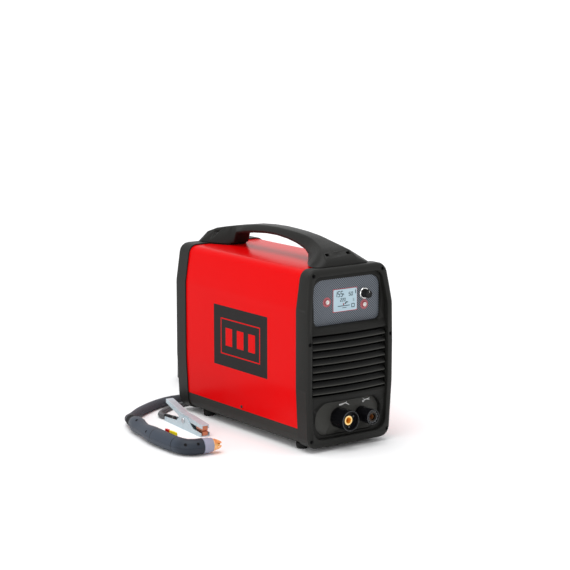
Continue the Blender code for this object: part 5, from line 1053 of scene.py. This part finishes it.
class CUTTER_OT_clamp(bpy.types.Operator):
    """The work clamp with its wound spring and toothed jaws"""
    bl_idname = "cutter.clamp"
    bl_label = "Work clamp"

    def execute(self, context):
        zinc = zinc_plate()
        skin("clamp_lower_arm", zinc)
        skin("clamp_upper_arm", zinc)
        skin("clamp_pivot", metal("pivot_steel", (0.48, 0.48, 0.50), 0.30))
        line = [clamp_point(0.041, 0.0034, 0.0030)]
        steps, radius, half = 92, 0.0053, 0.0037
        for step in range(steps + 1):
            turn = -math.pi / 2 - math.tau * step / 20
            line.append(clamp_point(0.075 + radius * math.cos(turn),
                                    0.0165 + radius * math.sin(turn),
                                    half - 2 * half * step / steps))
        steel = metal("spring_steel", (0.20, 0.20, 0.21), 0.34)
        spring = wire("clamp_torsion_spring", line, 0.0015, steel, "clamp", 3)
        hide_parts("clamp_spring")
        copper = metal("jaw_copper", (0.52, 0.20, 0.115), 0.32, 1200)
        side = (clamp_point(0, 0, 1) - clamp_point(0, 0, 0)) * 0.0104
        tip, length, count = 0.1425, 0.024, 8
        for name, base, meet, way in (("jaw_lower", 0.0021, 0.01035, -1),
                                      ("jaw_upper", 0.0196, 0.01065, 1)):
            outline = [(tip, base), (tip - length, base + (0.0018 if way > 0 else 0))]
            for tooth in range(count + 1):
                along = tip - length + length * tooth / count
                outline.append((along, meet + way * 0.0011))
                if tooth < count:
                    outline.append((along + length / 2 / count, meet))
            teeth = plate([clamp_point(a, h, -0.0052) for a, h in outline], side)
            piece(name + "_teeth", teeth, copper, BODY_OF[name], (name,), 20)
        return {"FINISHED"}


# ---------------------------------------------------------------- stage
class CUTTER_OT_stage(bpy.types.Operator):
    """White floor, plain soft light and the camera"""
    bl_idname = "cutter.stage"
    bl_label = "Stage"

    def execute(self, context):
        scene = context.scene
        scene.view_settings.view_transform = "Standard"
        bm = bmesh.new()
        bmesh.ops.create_grid(bm, x_segments=1, y_segments=1, size=60)
        bmesh.ops.translate(bm, vec=(0, 0, FLOOR - 0.0001), verts=bm.verts)
        mesh = bpy.data.meshes.new("studio_floor")
        bm.to_mesh(mesh)
        bm.free()
        floor = bpy.data.objects.new("studio_floor", mesh)
        scene.collection.objects.link(floor)
        white = Finish("floor_white", 0.9)
        white.paint(white.noise(0.8), (0.96, 0.96, 0.96), (0.98, 0.98, 0.98))
        mesh.materials.append(white.material)

        scene.world = bpy.data.worlds.new("studio_air")
        scene.world.use_nodes = True
        tree = scene.world.node_tree
        path = tree.nodes.new("ShaderNodeLightPath")
        seen = tree.nodes.new("ShaderNodeMath")
        seen.operation = "MAXIMUM"
        blend = tree.nodes.new("ShaderNodeMix")
        blend.data_type = "RGBA"
        blend.inputs[6].default_value = (0.76, 0.76, 0.77, 1)
        blend.inputs[7].default_value = (1, 1, 1, 1)
        for source, target in (
                (path.outputs["Is Camera Ray"], seen.inputs[0]),
                (path.outputs["Is Glossy Ray"], seen.inputs[1]), (seen.outputs[0], blend.inputs[0]),
                (blend.outputs[2], tree.nodes["Background"].inputs["Color"])):
            tree.links.new(source, target)

        sun = bpy.data.lights.new("window_light", "SUN")
        sun.energy, sun.angle = 1.50, math.radians(45)
        self.aim(sun, (-0.40, -0.05, 2.0), (0, 0, 0))
        soft = bpy.data.lights.new("front_fill", "AREA")
        soft.shape, soft.size, soft.size_y, soft.energy = "RECTANGLE", 1.6, 1.0, 13
        self.aim(soft, (-2.5, -0.9, 0.6), (0, 0, 0.15))

        camera = bpy.data.cameras.new("photo_camera")
        camera.lens, camera.sensor_width, camera.sensor_fit = 116.7, 36.0, "HORIZONTAL"
        camera.clip_end = 300
        scene.camera = self.aim(camera, (-1.952, -2.6895, 0.833), (0.003, -0.0085, 0.252))
        return {"FINISHED"}

    def aim(self, data, place, target):
        made = bpy.data.objects.new(data.name, data)
        made.location = place
        way = Vector(target) - Vector(place)
        made.rotation_euler = way.to_track_quat("-Z", "Y").to_euler()
        bpy.context.scene.collection.objects.link(made)
        return made


class CUTTER_PT_pieces(bpy.types.Panel):
    bl_idname = "CUTTER_PT_pieces"
    bl_label = "Plasma cutter"
    bl_space_type = "VIEW_3D"
    bl_region_type = "UI"
    bl_category = "Cutter"

    def draw(self, context):
        column = self.layout.column(align=True)
        for name in CutterLooks.__annotations__:
            column.prop(context.scene.cutter_looks, name)
        for operator in OPERATORS:
            column.operator(operator.bl_idname)


OPERATORS = (CUTTER_OT_stage, CUTTER_OT_leads, CUTTER_OT_case, CUTTER_OT_front, CUTTER_OT_rear,
             CUTTER_OT_handle, CUTTER_OT_inside, CUTTER_OT_torch, CUTTER_OT_clamp)
CLASSES = (CutterLooks,) + OPERATORS + (CUTTER_PT_pieces,)


def register():
    for item in CLASSES:
        bpy.utils.register_class(item)
    bpy.types.Scene.cutter_looks = PointerProperty(type=CutterLooks)


def unregister():
    del bpy.types.Scene.cutter_looks
    for item in reversed(CLASSES):
        bpy.utils.unregister_class(item)


def main():
    register()
    for operator in OPERATORS:
        group, name = operator.bl_idname.split(".")
        getattr(getattr(bpy.ops, group), name)()


if __name__ == "__main__":
    main()
